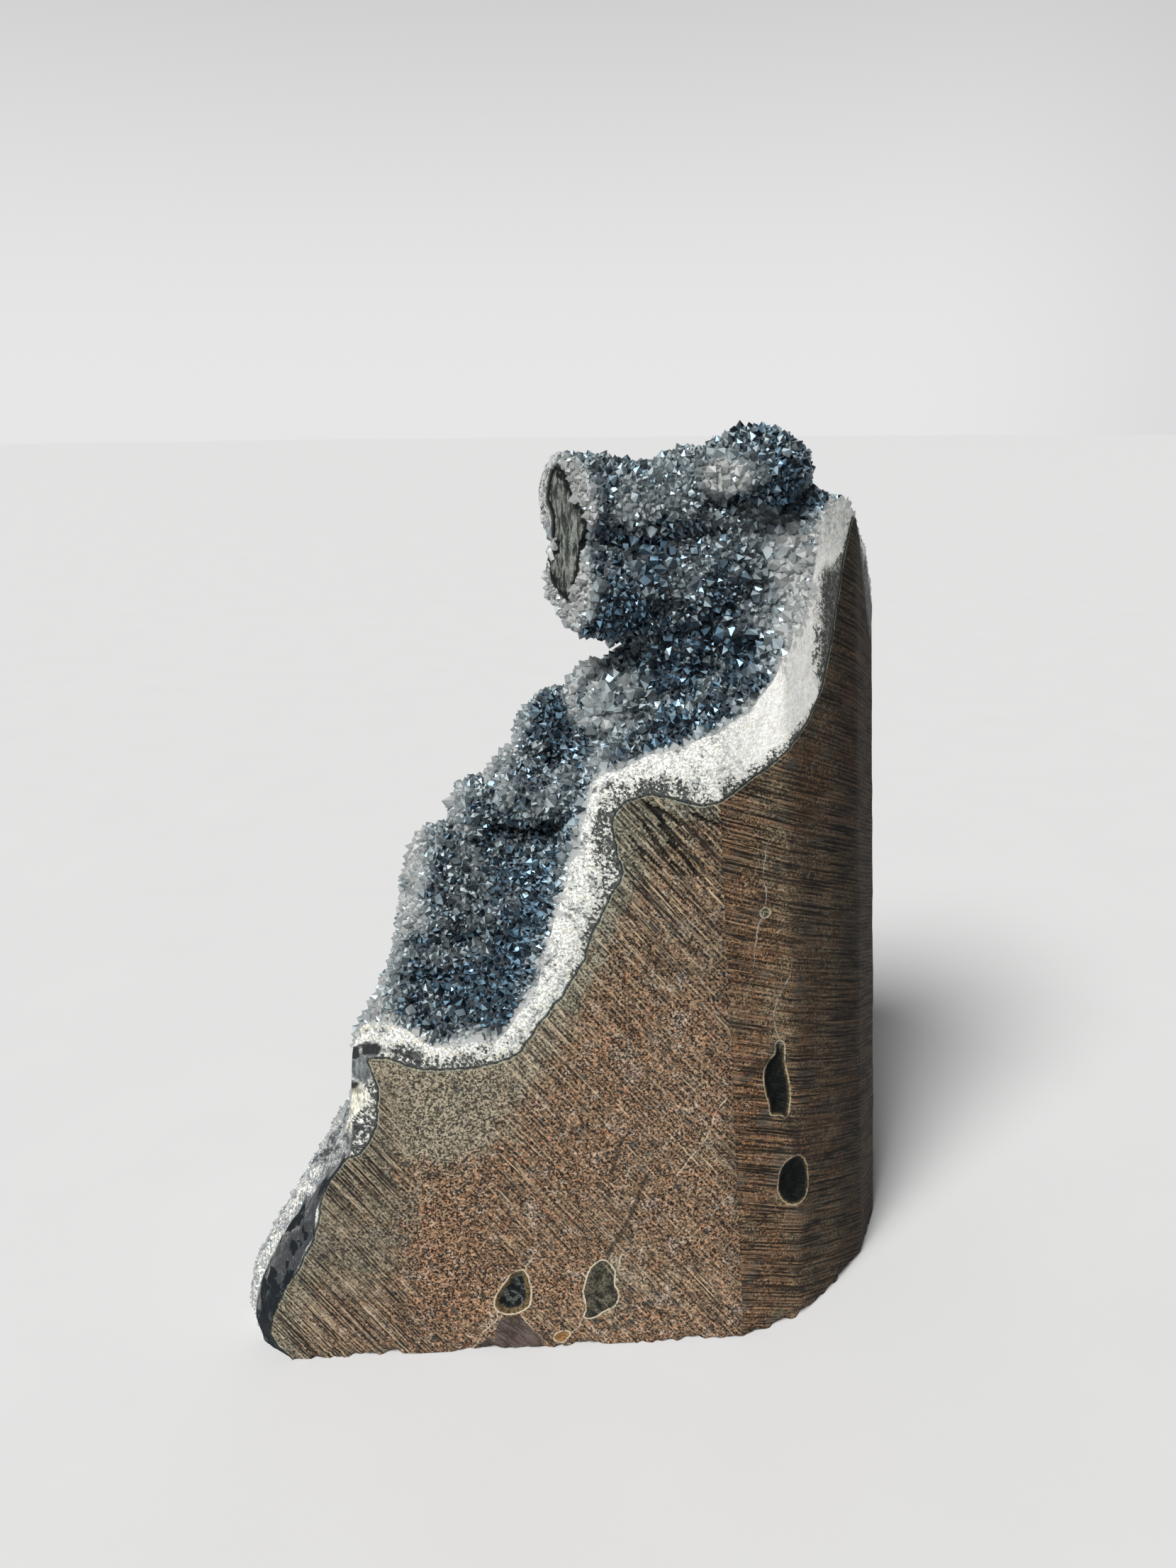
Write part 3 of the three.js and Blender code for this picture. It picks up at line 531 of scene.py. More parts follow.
def line_reach(co, line):
    p = np.array(line, float)
    best = np.full(len(co), 1e9)
    for a, b in zip(p[:-1], p[1:]):
        e = b - a
        t = np.clip(((co - a) @ e) / (e @ e), 0, 1)
        best = np.minimum(best, np.linalg.norm(co - a - t[:, None] * e, axis=1))
    return best


def roughen(body, rock_tree):
    me = body.data
    co = coords(me)
    nor = np.empty(len(co) * 3, np.float32)
    me.vertex_normals.foreach_get("vector", nor)
    nor = nor.reshape(-1, 3).astype(float)
    d, _ = nearest(rock_tree, co)
    x, y, z = co.T
    druse = smooth(0.6, 2.0, d) * smooth(90, 80, y)
    low_left = smooth(-50, -58, x) * smooth(100, 90, z)
    f1, f2, own = cells(co, 7.5, 11)
    knobs = 1.1 - 1.9 * f1 ** 1.6
    h = druse * (1 - low_left) * (0.95 * np.clip(knobs, -0.9, 1.0) + 0.45 * value_noise(co, 3.4, 3))
    g1, g2, gown = cells(co + 0.8 * fbm(co, 5, 2, 4)[:, None], 5.2, 21)
    chunk = 1.9 * (gown - 0.55) * smooth(0.0, 0.3, g2 - g1) + 0.7 * fbm(co, 2.6, 2, 8)
    # at the lower left: a flat shoulder next to the cut, a cleft, then the broken crust
    beside = y + 0.9 * fbm(co, 6, 2, 16)
    crusty = smooth(4.5, 8.0, beside)
    h += druse * low_left * (lerp(0.30, 1.0, crusty) * chunk + 0.45 * crusty * knobs)
    h -= druse * smooth(-56, -62, x) * smooth(62, 54, z) * 2.3 * np.exp(-((beside - 6.6) / 1.5) ** 2)
    h += 0.5 * druse * low_left * np.exp(-((beside - 2.6) / 0.7) ** 2)
    wander = 1.4 * fbm(co, 7, 2, 15)
    for wide, deep, line in CREASES:
        near = np.nonzero(np.abs(co - np.array(line).mean(0)).max(1) < 40)[0]
        away = line_reach(co[near], line) + wander[near]
        h[near] -= druse[near] * deep * smooth(wide, 0.2 * wide, away)
    k1, k2, kown = cells(co + 1.5 * fbm(co, 12, 2, 14)[:, None], 11, 31)
    rough = 1.1 * fbm(co, 22, 4, 40) + 1.1 * (kown - 0.5) * smooth(0.0, 0.22, k2 - k1) + 0.55 * fbm(co, 3.2, 2, 41)
    rough = rough * (1 - 0.45 * low_left)
    h += (1 - druse) * rough
    h *= smooth(-12, 0, z + 6)
    put_coords(me, co + nor * h[:, None])


def sawn_object(body):
    """The block after all the cuts. Faces keep the number of the cut that made them:
    1 front, 2 to 7 the right-hand facets, 10 the end of the stalactite, 11 underneath, 0 grown or broken."""
    set_attribute(body.data, "wall", np.zeros(len(body.data.polygons)), "FACE")
    columns = [0] * len(CUT)
    fine = CELL
    columns[0] = int(153.5 / fine)
    for i, s in zip(range(1, 7), (1.0, 1.0, 1.1, 1.3, 1.5, 1.6)):
        columns[i] = max(3, int(WIDTHS[i - 1] / (s * fine * 1.35)))
    prism = prism_object("prism", CUT, -5.0, 247.0, LEAN, int(252 / fine), columns, [1, 2, 3, 4, 5, 6, 7, 20, 20, 20])
    boolean(body, [prism], "INTERSECT")
    end = block_object("end", END_POINT - END_NORMAL * 30.0, [END_NORMAL, END_ACROSS, np.array([0, 0, 1.0])], [30.0, 34.0, 27.0], (100, 80), 10)
    floor = prism_object("floorcut", [(-140, -40), (160, -40), (160, 150), (-140, 150)], -60, 0, 0, 1, [0] * 4, [11] * 4)
    set_attribute(floor.data, "wall", np.full(len(floor.data.polygons), 11.0), "FACE")
    boolean(body, [end, floor], "DIFFERENCE")
    return body


def only_largest(ob, least):
    """Takes away loose crumbs with fewer than `least` faces."""
    bm = bmesh.new()
    bm.from_mesh(ob.data)
    bm.faces.ensure_lookup_table()
    seen = np.zeros(len(bm.faces), bool)
    gone = []
    for f in bm.faces:
        if seen[f.index]:
            continue
        seen[f.index] = True
        island, stack = [f], [f]
        while stack:
            g = stack.pop()
            for e in g.edges:
                for k in e.link_faces:
                    if not seen[k.index]:
                        seen[k.index] = True
                        island.append(k)
                        stack.append(k)
        if len(island) < least:
            gone += island
    if gone:
        bmesh.ops.delete(bm, geom=gone, context="FACES")
        bmesh.ops.delete(bm, geom=[v for v in bm.verts if not v.link_faces], context="VERTS")
    bm.to_mesh(ob.data)
    bm.free()


# ------------------------------------------------------------------ features of the cuts
# On the front a place is (x, z); on the facets it is (distance past the first fold, z).
SLASHES = [(13.8, 154.5, 18.2, 149.2, 0.41), (15.6, 153.6, 20.2, 149.9, 0.33), (17.4, 152.6, 21.9, 148.8, 0.31), (13.0, 149.1, 17.5, 142.6, 0.36), (14.7, 146.4, 19.3, 140.4, 0.46), (16.4, 149.3, 21.3, 143.3, 0.36), (18.7, 144.7, 22.3, 140.9, 0.31), (21.3, 142.5, 24.9, 137.6, 0.36), (22.8, 140.9, 25.9, 135.4, 0.41), (9.7, 146.5, 13.3, 141.1, 0.26), (12.0, 143.6, 17.6, 137.8, 0.31), (24.6, 151.4, 30.7, 148.3, 0.31), (19.3, 139.9, 23.4, 136.0, 0.26), (20.7, 148.3, 23.7, 145.1, 0.23), (11.3, 138.0, 14.8, 133.6, 0.18), (23.2, 147.2, 28.3, 142.3, 0.18)]
NODULE_1 = [(-17.9, 25.7), (-16.9, 23.5), (-16.3, 20.7), (-16.1, 18.0), (-16.7, 14.3), (-18.4, 12.8), (-20.3, 12.0), (-22.9, 11.9), (-25.2, 13.2), (-26.0, 15.1), (-25.6, 17.6), (-24.2, 20.3), (-22.6, 22.5), (-21.5, 24.4), (-19.9, 25.5)]
NODULE_2 = [(2.5, 27.8), (0.2, 25.9), (-0.9, 24.0), (-1.7, 20.8), (-2.3, 18.1), (-1.9, 15.3), (-1.5, 12.5), (-2.2, 9.8), (-0.4, 9.2), (1.3, 9.8), (3.2, 11.3), (5.9, 12.8), (7.0, 14.8), (7.0, 17.6), (6.1, 19.5), (5.9, 21.3), (6.2, 23.6), (5.5, 25.4), (4.0, 27.3)]
NODULE_3 = [(-10.4, 3.5), (-9.6, 4.8), (-7.9, 5.4), (-6.2, 5.1), (-6.0, 4.1), (-6.8, 2.8), (-7.6, 1.7), (-8.7, 1.7), (-10.1, 2.5)]
WEDGE = [(-23.7, 11.0), (-19.9, 11.3), (-18.5, 9.6), (-14.0, 3.4), (-13.3, 0.6), (-13.4, -2), (-25.5, -2), (-26.2, 3.2), (-26.0, 6.0), (-25.3, 8.8)]
WEDGE_2 = [(-29.5, 3.2), (-27.0, 4.5), (-26.0, 1.8), (-26.2, -1.5), (-31.2, -1.5)]
FRONT_VEINS = [
    [(-25.2, 12.5), (-25.6, 10.2), (-27.6, 8.0), (-29.6, 5.8), (-30.8, 3.1), (-32.2, 0.3)],
    [(-17.7, 25.8), (-16.9, 27.6), (-15.4, 30.2)],
    [(-18.6, 10.7), (-16.6, 7.8), (-15.1, 5.4)],
    [(7.9, 28.6), (7.2, 26.5), (6.6, 23.6)],
    [(-2.3, 9.8), (-3.3, 7.5), (-4.1, 5.9), (-5.8, 4.8)],
    [(22.4, 53.2), (25.2, 57.6), (28.1, 61.2), (30.2, 65.6), (31.5, 69.9), (32.9, 73.3), (34.3, 75.1)],
]
FRONT_DARK = [
    [(4.4, 29.8), (7.0, 34.8), (9.8, 40.4), (12.1, 46.8), (14.5, 53.6)],
    [(5.0, 54.1), (6.6, 59.5), (8.1, 64.9)],
    [(-9.9, 21.7), (-8.4, 22.4), (-7.1, 22.9)],
]
SPINDLE = [(14.4, 88.2), (13.1, 87.3), (12.9, 84.7), (11.4, 83.6), (9.9, 81.6), (9.3, 79.7), (9.3, 77.2), (9.8, 73.7), (10.6, 70.5), (11.1, 67.2), (14.1, 66.1), (15.7, 65.0), (16.6, 66.2), (17.3, 71.6), (16.9, 75.9), (15.9, 81.2), (16.0, 85.3), (15.5, 87.5)]
OVAL = [(18.9, 52.5), (15.5, 51.8), (13.6, 49.8), (12.7, 47.0), (12.5, 43.5), (13.6, 40.5), (15.6, 38.3), (17.4, 37.4), (20.0, 37.1), (22.8, 38.3), (23.7, 41.9), (23.4, 46.6), (21.8, 50.2)]
LENS = [(9.9, 124.6), (11.2, 125.6), (12.8, 124.6), (12.6, 123.3), (10.9, 122.8)]
SIDE_VEINS = [
    [(12.7, 141.8), (11.2, 136.2), (11.8, 130.2), (11.5, 126.2), (11.0, 123.8), (9.3, 121.7), (8.4, 117.0), (7.6, 111.2)],
    [(18.2, 105.7), (14.8, 100.9), (13.7, 98.8), (12.7, 95.9), (13.1, 93.4), (13.8, 89.9), (14.4, 88.2)],
]
SIDE_DARK = [[(15.7, 65.0), (17.6, 61.2), (19.0, 56.9), (18.9, 52.5)], [(5.2, 82.2), (7.8, 82.7), (10.3, 82.9)]]
# in the corner of the quartz at the lower left, on the front: black hollows painted flat as shade, a grey chip, a pale
# column and a peppered patch
SLOTS = [
    [(-55.9, 94.4), (-53.4, 94.9), (-51.2, 94.3), (-50.5, 93.0), (-51.3, 91.9), (-52.5, 90.9), (-53.6, 91.5), (-55.9, 91.7)],
    [(-58.9, 93.8), (-56.8, 94.1), (-56.4, 91.9), (-57.4, 90.3), (-59.2, 90.1)],
    [(-60.2, 85.7), (-57.0, 83.7), (-57.7, 82.7), (-58.9, 82.1), (-60.6, 82.8)],
]
SLOT_THIN = [(-50.4, 93.5), (-47.8, 92.7), (-44.7, 91.8), (-43.0, 92.0), (-41.0, 91.6), (-41.4, 89.3), (-43.4, 89.1), (-44.8, 90.3), (-47.3, 91.4), (-49.6, 92.3)]
CHIP = [(-55.9, 91.6), (-53.7, 91.2), (-53.4, 89.2), (-53.9, 86.6), (-55.3, 83.6), (-56.7, 84.0), (-60.2, 86.4), (-59.2, 90.0)]
COLUMN = [(-61.5, 82.2), (-57.7, 82.7), (-54.9, 79.9), (-59.4, 74.1), (-61.5, 75.0)]
SALT = [(-55.3, 83.6), (-51.0, 82.5), (-50.4, 79.1), (-50.0, 73.0), (-52.0, 68.0), (-57.2, 62.0), (-60.3, 59.4), (-61.8, 64.9), (-60.6, 70.0), (-59.7, 73.4), (-54.9, 79.9)]


def curve_of(points, closed, steps=6):
    p = np.array(points, float)
    if closed:
        p = np.concatenate([p[-1:], p, p[:2]])
    else:
        p = np.concatenate([[2 * p[0] - p[1]], p, [2 * p[-1] - p[-2]]])
    out = []
    for i in range(1, len(p) - 2):
        a, b, c, d = p[i - 1:i + 3]
        for k in range(steps):
            w = k / steps
            t0, t1 = 0.42 * (c - a), 0.42 * (d - b)
            out.append(b + t0 * w + (-3 * b + 3 * c - 2 * t0 - t1) * w * w + (2 * b - 2 * c + t0 + t1) * w ** 3)
    if not closed:
        out.append(p[-2])
    return np.array(out)


def line_distance(q, line, closed):
    """Distance from the points q to a line of points, with a side: positive on its left."""
    a = line if closed else line[:-1]
    b = np.roll(line, -1, 0) if closed else line[1:]
    best = np.full(len(q), 1e9)
    side = np.ones(len(q))
    for p0, p1 in zip(a, b):
        e = p1 - p0
        w = q - p0
        t = np.clip((w @ e) / max(e @ e, 1e-12), 0, 1)
        r = w - t[:, None] * e
        dd = np.einsum("ij,ij->i", r, r)
        s = np.sign(e[0] * w[:, 1] - e[1] * w[:, 0])
        near = dd < best
        best = np.where(near, dd, best)
        side = np.where(near, s, side)
    return np.sqrt(best), side


def inside_distance(q, points):
    """Signed distance to a smooth closed outline: positive inside."""
    line = curve_of(points, True)
    d, _ = line_distance(q, line, True)
    inside = np.zeros(len(q), bool)
    a, b = line, np.roll(line, -1, 0)
    for p0, p1 in zip(a, b):
        cross = ((p0[1] > q[:, 1]) != (p1[1] > q[:, 1])) & (q[:, 0] < (p1[0] - p0[0]) * (q[:, 1] - p0[1]) / ((p1[1] - p0[1]) or 1e-12) + p0[0])
        inside ^= cross
    return np.where(inside, d, -d)


def cut_places(co, walls):
    """For each vertex: (x, z) on the front, (distance past the first fold, z) on the facets, and which it is."""
    front = walls[1]
    side = np.zeros(len(co), bool)
    u = np.zeros(len(co))
    for i in range(2, 8):
        (xa, ya), (xb, yb) = CUT[i - 1], CUT[i]
        e = np.array([xb - xa, yb - ya]) / WIDTHS[i - 2]
        s = (co[:, 0] + LEAN * co[:, 2] - xa) * e[0] + (co[:, 1] - ya) * e[1]
        on = walls[i]
        u = np.where(on, START[i - 2] + s, u)
        side |= on
    return front, side, u


def vertex_walls(me):
    wall = get_attribute(me, "wall").round().astype(int)
    starts = np.empty(len(me.polygons), np.int32)
    totals = np.empty(len(me.polygons), np.int32)
    me.polygons.foreach_get("loop_start", starts)
    me.polygons.foreach_get("loop_total", totals)
    lv = np.empty(len(me.loops), np.int32)
    me.loops.foreach_get("vertex_index", lv)
    lw = np.repeat(wall, totals)
    return {w: np.bincount(lv[lw == w], minlength=len(me.vertices)) > 0 for w in (0, 1, 2, 3, 4, 5, 6, 7, 10, 11)}


def work_cuts(body):
    """Shallow waves, worn edges, chips, grooves and hollows, pressed into the sawn faces."""
    me = body.data
    co = coords(me)
    walls = vertex_walls(me)
    front, side, u = cut_places(co, walls)
    inward = np.zeros_like(co)
    count = np.zeros(len(co))
    for w in range(1, 8):
        (xa, ya), (xb, yb) = CUT[w - 1], CUT[w]
        n = np.array([yb - ya, xa - xb, 0.0])
        n[2] = LEAN * n[0]
        n /= np.linalg.norm(n)
        if w == 1:
            n = np.array([0, -1.0, 0])
        inward[walls[w]] -= n
        count[walls[w]] += 1
    on = count > 0
    inward /= np.maximum(np.linalg.norm(inward, axis=1), 1e-9)[:, None]
    x, y, z = co.T
    depth = 0.10 + 0.10 * fbm(co, 14, 2, 51) + 0.05 * value_noise(co, 4, 52)
    # worn folds and broken rims
    fold = np.full(len(co), 9.0)
    for w in (2, 3, 4, 5, 6, 7):
        s = START[w - 2]
        fold = np.where(side, np.minimum(fold, np.abs(u - s)), fold)
    fold = np.where(front, np.minimum(fold, np.abs(41.5 - LEAN * z - x)), fold)
    depth += 0.22 * smooth(1.4, 0, fold) * (0.7 + 0.6 * value_noise(co, 5, 53))
    chips = np.clip(fbm(co, 4.5, 3, 54) + 0.15, 0, 1)
    low = smooth(3.4, 0.0, z)
    depth += low * (2.6 * chips + 0.2)
    teeth = np.clip(fbm(co, 2.2, 2, 55), 0, 1) * smooth(1.2, 0, z)
    depth += 1.2 * teeth
    # grooves where a coarse patch has plucked out
    q = np.stack([x, z], 1)
    groove = np.zeros(len(co))
    near = front & (x > 4) & (x < 36) & (z > 128) & (z < 160)
    idx = np.nonzero(near)[0]
    for x0, z0, x1, z1, r in SLASHES:
        p0, p1 = np.array([x0, z0]), np.array([x1, z1])
        e = p1 - p0
        L = np.linalg.norm(e)
        e = e / L
        w = q[idx] - p0
        t = w @ e
        s = np.abs(w[:, 0] * e[1] - w[:, 1] * e[0]) + 0.18 * value_noise(np.stack([t, w[:, 0], w[:, 1]], 1), 1.1, 56)
        half = (r + 0.28) * np.sqrt(np.clip(1 - (2 * np.clip(t / L, -0.06, 1.06) - 1) ** 4, 0, 1))
        g = smooth(1.0, 0.35, s / np.maximum(half, 0.05)) * (t > -0.04 * L) * (t < 1.04 * L) * min(1.0, r / 0.3)
        groove[idx] = np.maximum(groove[idx], g)
    depth += 0.75 * groove
    # hollow nodules
    hollow = np.zeros(len(co))
    for pts, deep, wide in ((NODULE_1, 1.1, 2.6), (NODULE_2, 0.35, 3.0), (NODULE_3, 0.25, 1.2)):
        c = np.array(pts).mean(0)
        idx = np.nonzero(front & (np.hypot(x - c[0], z - c[1]) < 18))[0]
        d = inside_distance(q[idx], pts)
        hollow[idx] = np.maximum(hollow[idx], deep * smooth(0.1, wide, d))
    qs = np.stack([u, z], 1)
    for pts, deep, wide in ((SPINDLE, 1.7, 2.2), (OVAL, 2.3, 3.0), (LENS, 0.5, 1.0)):
        c = np.array(pts).mean(0)
        idx = np.nonzero(side & (np.hypot(u - c[0], z - c[1]) < 18))[0]
        d = inside_distance(qs[idx], pts)
        hollow[idx] = np.maximum(hollow[idx], deep * smooth(0.1, wide, d))
    depth += hollow * (1 + 0.25 * value_noise(co, 1.5, 57))
    co = co + inward * (depth * on)[:, None]
    # the end of the stalactite is nearly flat
    end = walls[10] & ~walls[0]
    co[end] += END_NORMAL * (0.15 + 0.15 * fbm(co[end], 3, 2, 58))[:, None]
    # nothing goes under the floor, and the rim of the underside lifts a little in places
    rim = walls[11] & (on | walls[0])
    co[rim, 2] += np.clip(0.9 * fbm(co[rim], 3.5, 2, 59) + 0.15, 0, 0.9)
    co[:, 2] = np.maximum(co[:, 2], 0)
    put_coords(me, co)
    set_attribute(me, "groove", groove)
    set_attribute(me, "hollow", hollow)


# ------------------------------------------------------------------ quartz points
def paleness_and_painted_light_at(co, nor):
    """How pale the quartz is at places on the druse, from 0 (smoky navy) to 1 (milky), with painted light on sides that
    face the light at the left and painted shade in the creases.
    """
    x, y, z = co.T
    # distance behind the sawn front and facets
    back = y.copy()
    for w in range(1, 6):
        (xa, ya), (xb, yb) = CUT[w], CUT[w + 1]
        e = np.array([xb - xa, yb - ya]) / WIDTHS[w - 1]
        d = -(x + LEAN * z - xa) * e[1] + (y - ya) * e[0]
        back = np.minimum(back, d)
    t = 0.245 + 0.16 * fbm(co, 17, 3, 61) + 0.14 * fbm(co, 6, 2, 62)
    t += 0.75 * smooth(2.8, 0.2, back + 1.5 * value_noise(co, 2.4, 63))
    # the paler fan under the top, beside the band
    t += 0.50 * smooth(22, 5, back) * smooth(172, 192, z) * smooth(220, 209, z) * smooth(36, 45, x)
    # painted light: sides that face out to the left, towards the light, are paler
    edge = np.interp(z, [90, 118, 128, 133, 140, 147, 155, 160, 166, 178, 190, 240], [-56, -49, -46, -42, -34, -28, -21, -15, -11, -2, 0, 0])
    t += 0.40 * smooth(0.15, 0.75, -nor[:, 0]) * smooth(13, 6, x - edge)
    # the upper barrel is greyer than the lower
    t += 0.15 * smooth(213, 219, z) * smooth(42, 32, x)
    for cx, cy, cz, rr, a in TONES:
        d = np.sqrt((x - cx) ** 2 + (0.6 * (y - cy)) ** 2 + (z - cz) ** 2)
        t += a * smooth(rr, 0.25 * rr, d + 0.22 * rr * value_noise(co, 5, 64))
    # painted shade: darker along the creases between the lobes
    for wide, _, line in CREASES:
        t -= 0.16 * smooth(wide + 1.5, 0.3, line_reach(co, line))
    t += 0.40 * smooth(2.6, 0.5, (co - END_POINT) @ END_NORMAL) * smooth(190, 196, z)
    low = smooth(-52, -60, x) * smooth(99, 92, z)
    t = t * (1 - low) + low * (0.80 + 0.25 * fbm(co, 6, 2, 65))
    return np.clip(t, 0, 1)


TONES = [
    # x, y, z, radius, change
    (-5.8, 19.3, 156.6, 7, 0.26), (-9.5, 18.9, 147.6, 7, 0.16), (-25.8, 40.6, 147.0, 8, 0.24), (4.4, 40.7, 178.4, 10, 0.34), (-14.6, 33.4, 148.7, 7, 0.20),
    (32.5, 24.0, 225.6, 6.5, 0.75), (37.5, 21.0, 225.4, 5.0, 0.60), (-2, 17.5, 217.5, 8, 0.18), (8, 17.2, 217.5, 7, 0.14), (12.8, 16.6, 220.0, 8, 0.24), (24, 19.0, 218.5, 7, 0.12), (41.6, 28.6, 213.6, 9, 0.26), (50, 29.4, 212.9, 6, 0.30),
    (35.9, 6.0, 175.1, 5, 0.30), (2.6, 6.5, 162.9, 5, 0.35), (6.5, 18.7, 168.5, 8, 0.26), (11.3, 22.5, 174.5, 8, 0.26),
    (-37.2, 19.1, 113.0, 6, 0.14), (-26.4, 18.9, 111.7, 6, 0.14), (-43.4, 39.6, 129.5, 8, 0.24), (-41.8, 27.7, 125.1, 5, 0.12), (-46.9, 27.3, 116.5, 7, 0.22),
    (-50.3, 10.2, 103.0, 6, 0.30), (-50.5, 2.8, 101.1, 5, 0.40), (-16.5, 32.0, 134.0, 9, 0.10), (50.5, 22.0, 203.0, 8, 0.20), (-9.0, 22.0, 219.0, 6, 0.22),
    (-7.9, 32.0, 165.9, 8, -0.20), (-3.6, 29.3, 162.8, 7, -0.20), (30.0, 4.8, 173.0, 8, -0.22), (20.0, 5.6, 170.3, 9, -0.22), (40.2, 17.3, 184.4, 11, -0.24), (28.7, 20.2, 190.7, 11, -0.14),
    (-17, 21, 122, 15, -0.15), (-10, 13, 131, 12, -0.16), (-31, 28, 124, 10, 0.12), (2, 30, 163, 10, 0.14), (-10, 33, 164, 8, -0.46), (24, 19, 180, 12, -0.14), (36, 8, 177, 10, -0.14),
    (50.1, 24.8, 231.0, 8, -0.12), (49.2, 23.8, 221.3, 7, -0.25), (5.7, 17.9, 194.0, 9, -0.22), (12.6, 17.1, 197.4, 9, -0.16), (-31.8, 10.1, 102.4, 10, -0.24), (-22.9, 9.1, 104.6, 10, -0.24),
    (-19.2, 14.4, 111.6, 8, -0.16), (-24.5, 3.8, 98.7, 9, -0.22), (-16.9, 27.5, 129.4, 7, -0.08), (-18.0, 10.0, 124.0, 9, -0.14), (21, 17.0, 210.0, 9, -0.10), (36, 22, 200, 10, -0.12),
]


def scatter(band):
    """Places for crystals over the grown faces: centres, outward directions and radii, biggest first."""
    me = band.data
    me.calc_loop_triangles()
    n = len(me.loop_triangles)
    tri = np.empty(n * 3, np.int32)
    me.loop_triangles.foreach_get("vertices", tri)
    tri = tri.reshape(-1, 3)
    pol = np.empty(n, np.int32)
    me.loop_triangles.foreach_get("polygon_index", pol)
    wall = get_attribute(me, "wall").round().astype(int)[pol]
    co = coords(me)
    nor = np.empty(len(co) * 3, np.float32)
    me.vertex_normals.foreach_get("vector", nor)
    nor = nor.reshape(-1, 3).astype(float)
    a, b, c = co[tri[:, 0]], co[tri[:, 1]], co[tri[:, 2]]
    cr = np.cross(b - a, c - a)
    area = 0.5 * np.linalg.norm(cr, axis=1)
    fn = cr / np.maximum(2 * area, 1e-9)[:, None]
    mid = (a + b + c) / 3
    grown = (wall == 0) & (mid[:, 2] > 0.8) & (mid[:, 1] < 85)
    grown &= ~((mid[:, 1] > 81) & (fn[:, 1] > 0.55))
    # the rim of the stalactite's end is grown over at its near side and its foot
    rim = get_attribute(me, "rim")[tri].mean(1)
    t = (mid - END_POINT) @ END_ACROSS
    over = (wall == 10) & (rim > 0.9) & ((t < -4.5 + 0.25 * np.abs(mid[:, 2] - 213)) | (mid[:, 2] < 203.5) | (mid[:, 2] > 229))
    grown |= over
    crust = smooth(-50, -57, mid[:, 0]) * smooth(97, 90, mid[:, 2])
    area = np.where(grown & ((crust < 0.5) | (mid[:, 1] > 9)), area * (1 - 0.96 * crust), 0)
    total = area.sum()
    want = int(total * (6.5))
    pick = G.choice(n, want, p=area / total)
    r1, r2 = G.random(want), G.random(want)
    s = np.sqrt(r1)
    w0, w1, w2 = 1 - s, s * (1 - r2), s * r2
    p = a[pick] * w0[:, None] + b[pick] * w1[:, None] + c[pick] * w2[:, None]
    m = nor[tri[pick, 0]] * w0[:, None] + nor[tri[pick, 1]] * w1[:, None] + nor[tri[pick, 2]] * w2[:, None]
    m = 0.6 * m / np.maximum(np.linalg.norm(m, axis=1), 1e-9)[:, None] + 0.4 * fn[pick]
    m /= np.linalg.norm(m, axis=1)[:, None]
    r = np.exp(G.normal(math.log(0.60), 0.30, want))
    coarse = smooth(0.15, 0.6, fbm(p, 16, 2, 71))
    r *= 1 + 0.35 * coarse
    for cx, cy, cz, rr in ((12, 22, 175, 13), (6, 20, 168, 10), (48, 26, 205, 13), (4, 40, 178, 12), (36, 24, 226, 7)):
        r *= 1 + 0.45 * smooth(rr, 0.3 * rr, np.linalg.norm(p - np.array([cx, cy, cz]), axis=1))
    low = smooth(-52, -60, p[:, 0]) * smooth(99, 92, p[:, 2])
    r *= 1 - 0.30 * low
    r = np.clip(r, 0.40, 1.9) * 1.0
    order = np.argsort(-r)
    p, m, r = p[order], m[order], r[order]
    cell = 2.4
    grid = {}
    keep = []
    key = np.floor(p / cell).astype(int)
    pl, rl, kl = p.tolist(), r.tolist(), key.tolist()
    share = 0.75
    for i in range(len(pl)):
        x, y, z = pl[i]
        kx, ky, kz = kl[i]
        ri = rl[i]
        ok = True
        for dx in (-1, 0, 1):
            for dy in (-1, 0, 1):
                for dz in (-1, 0, 1):
                    for j in grid.get((kx + dx, ky + dy, kz + dz), ()):
                        q = pl[j]
                        d = share * (ri + rl[j])
                        if (q[0] - x) ** 2 + (q[1] - y) ** 2 + (q[2] - z) ** 2 < d * d:
                            ok = False
                            break
                    if not ok:
                        break
                if not ok:
                    break
            if not ok:
                break
        if ok:
            keep.append(i)
            grid.setdefault((kx, ky, kz), []).append(i)
    keep = np.array(keep)
    return p[keep], m[keep], r[keep], total


def colour_groups(p, r, spare):
    """Splits the crystals into groups in which none reaches another."""
    cell = 2 * r.max() + spare
    grid = {}
    key = np.floor(p / cell).astype(int).tolist()
    pl, rl = p.tolist(), r.tolist()
    group = np.zeros(len(p), int)
    for i in range(len(pl)):
        x, y, z = pl[i]
        kx, ky, kz = key[i]
        used = set()
        for dx in (-1, 0, 1):
            for dy in (-1, 0, 1):
                for dz in (-1, 0, 1):
                    for j in grid.get((kx + dx, ky + dy, kz + dz), ()):
                        q = pl[j]
                        d = rl[i] + rl[j] + spare
                        if (q[0] - x) ** 2 + (q[1] - y) ** 2 + (q[2] - z) ** 2 < d * d:
                            used.add(group[j])
        g = 0
        while g in used:
            g += 1
        group[i] = g
        grid.setdefault((kx, ky, kz), []).append(i)
    return group


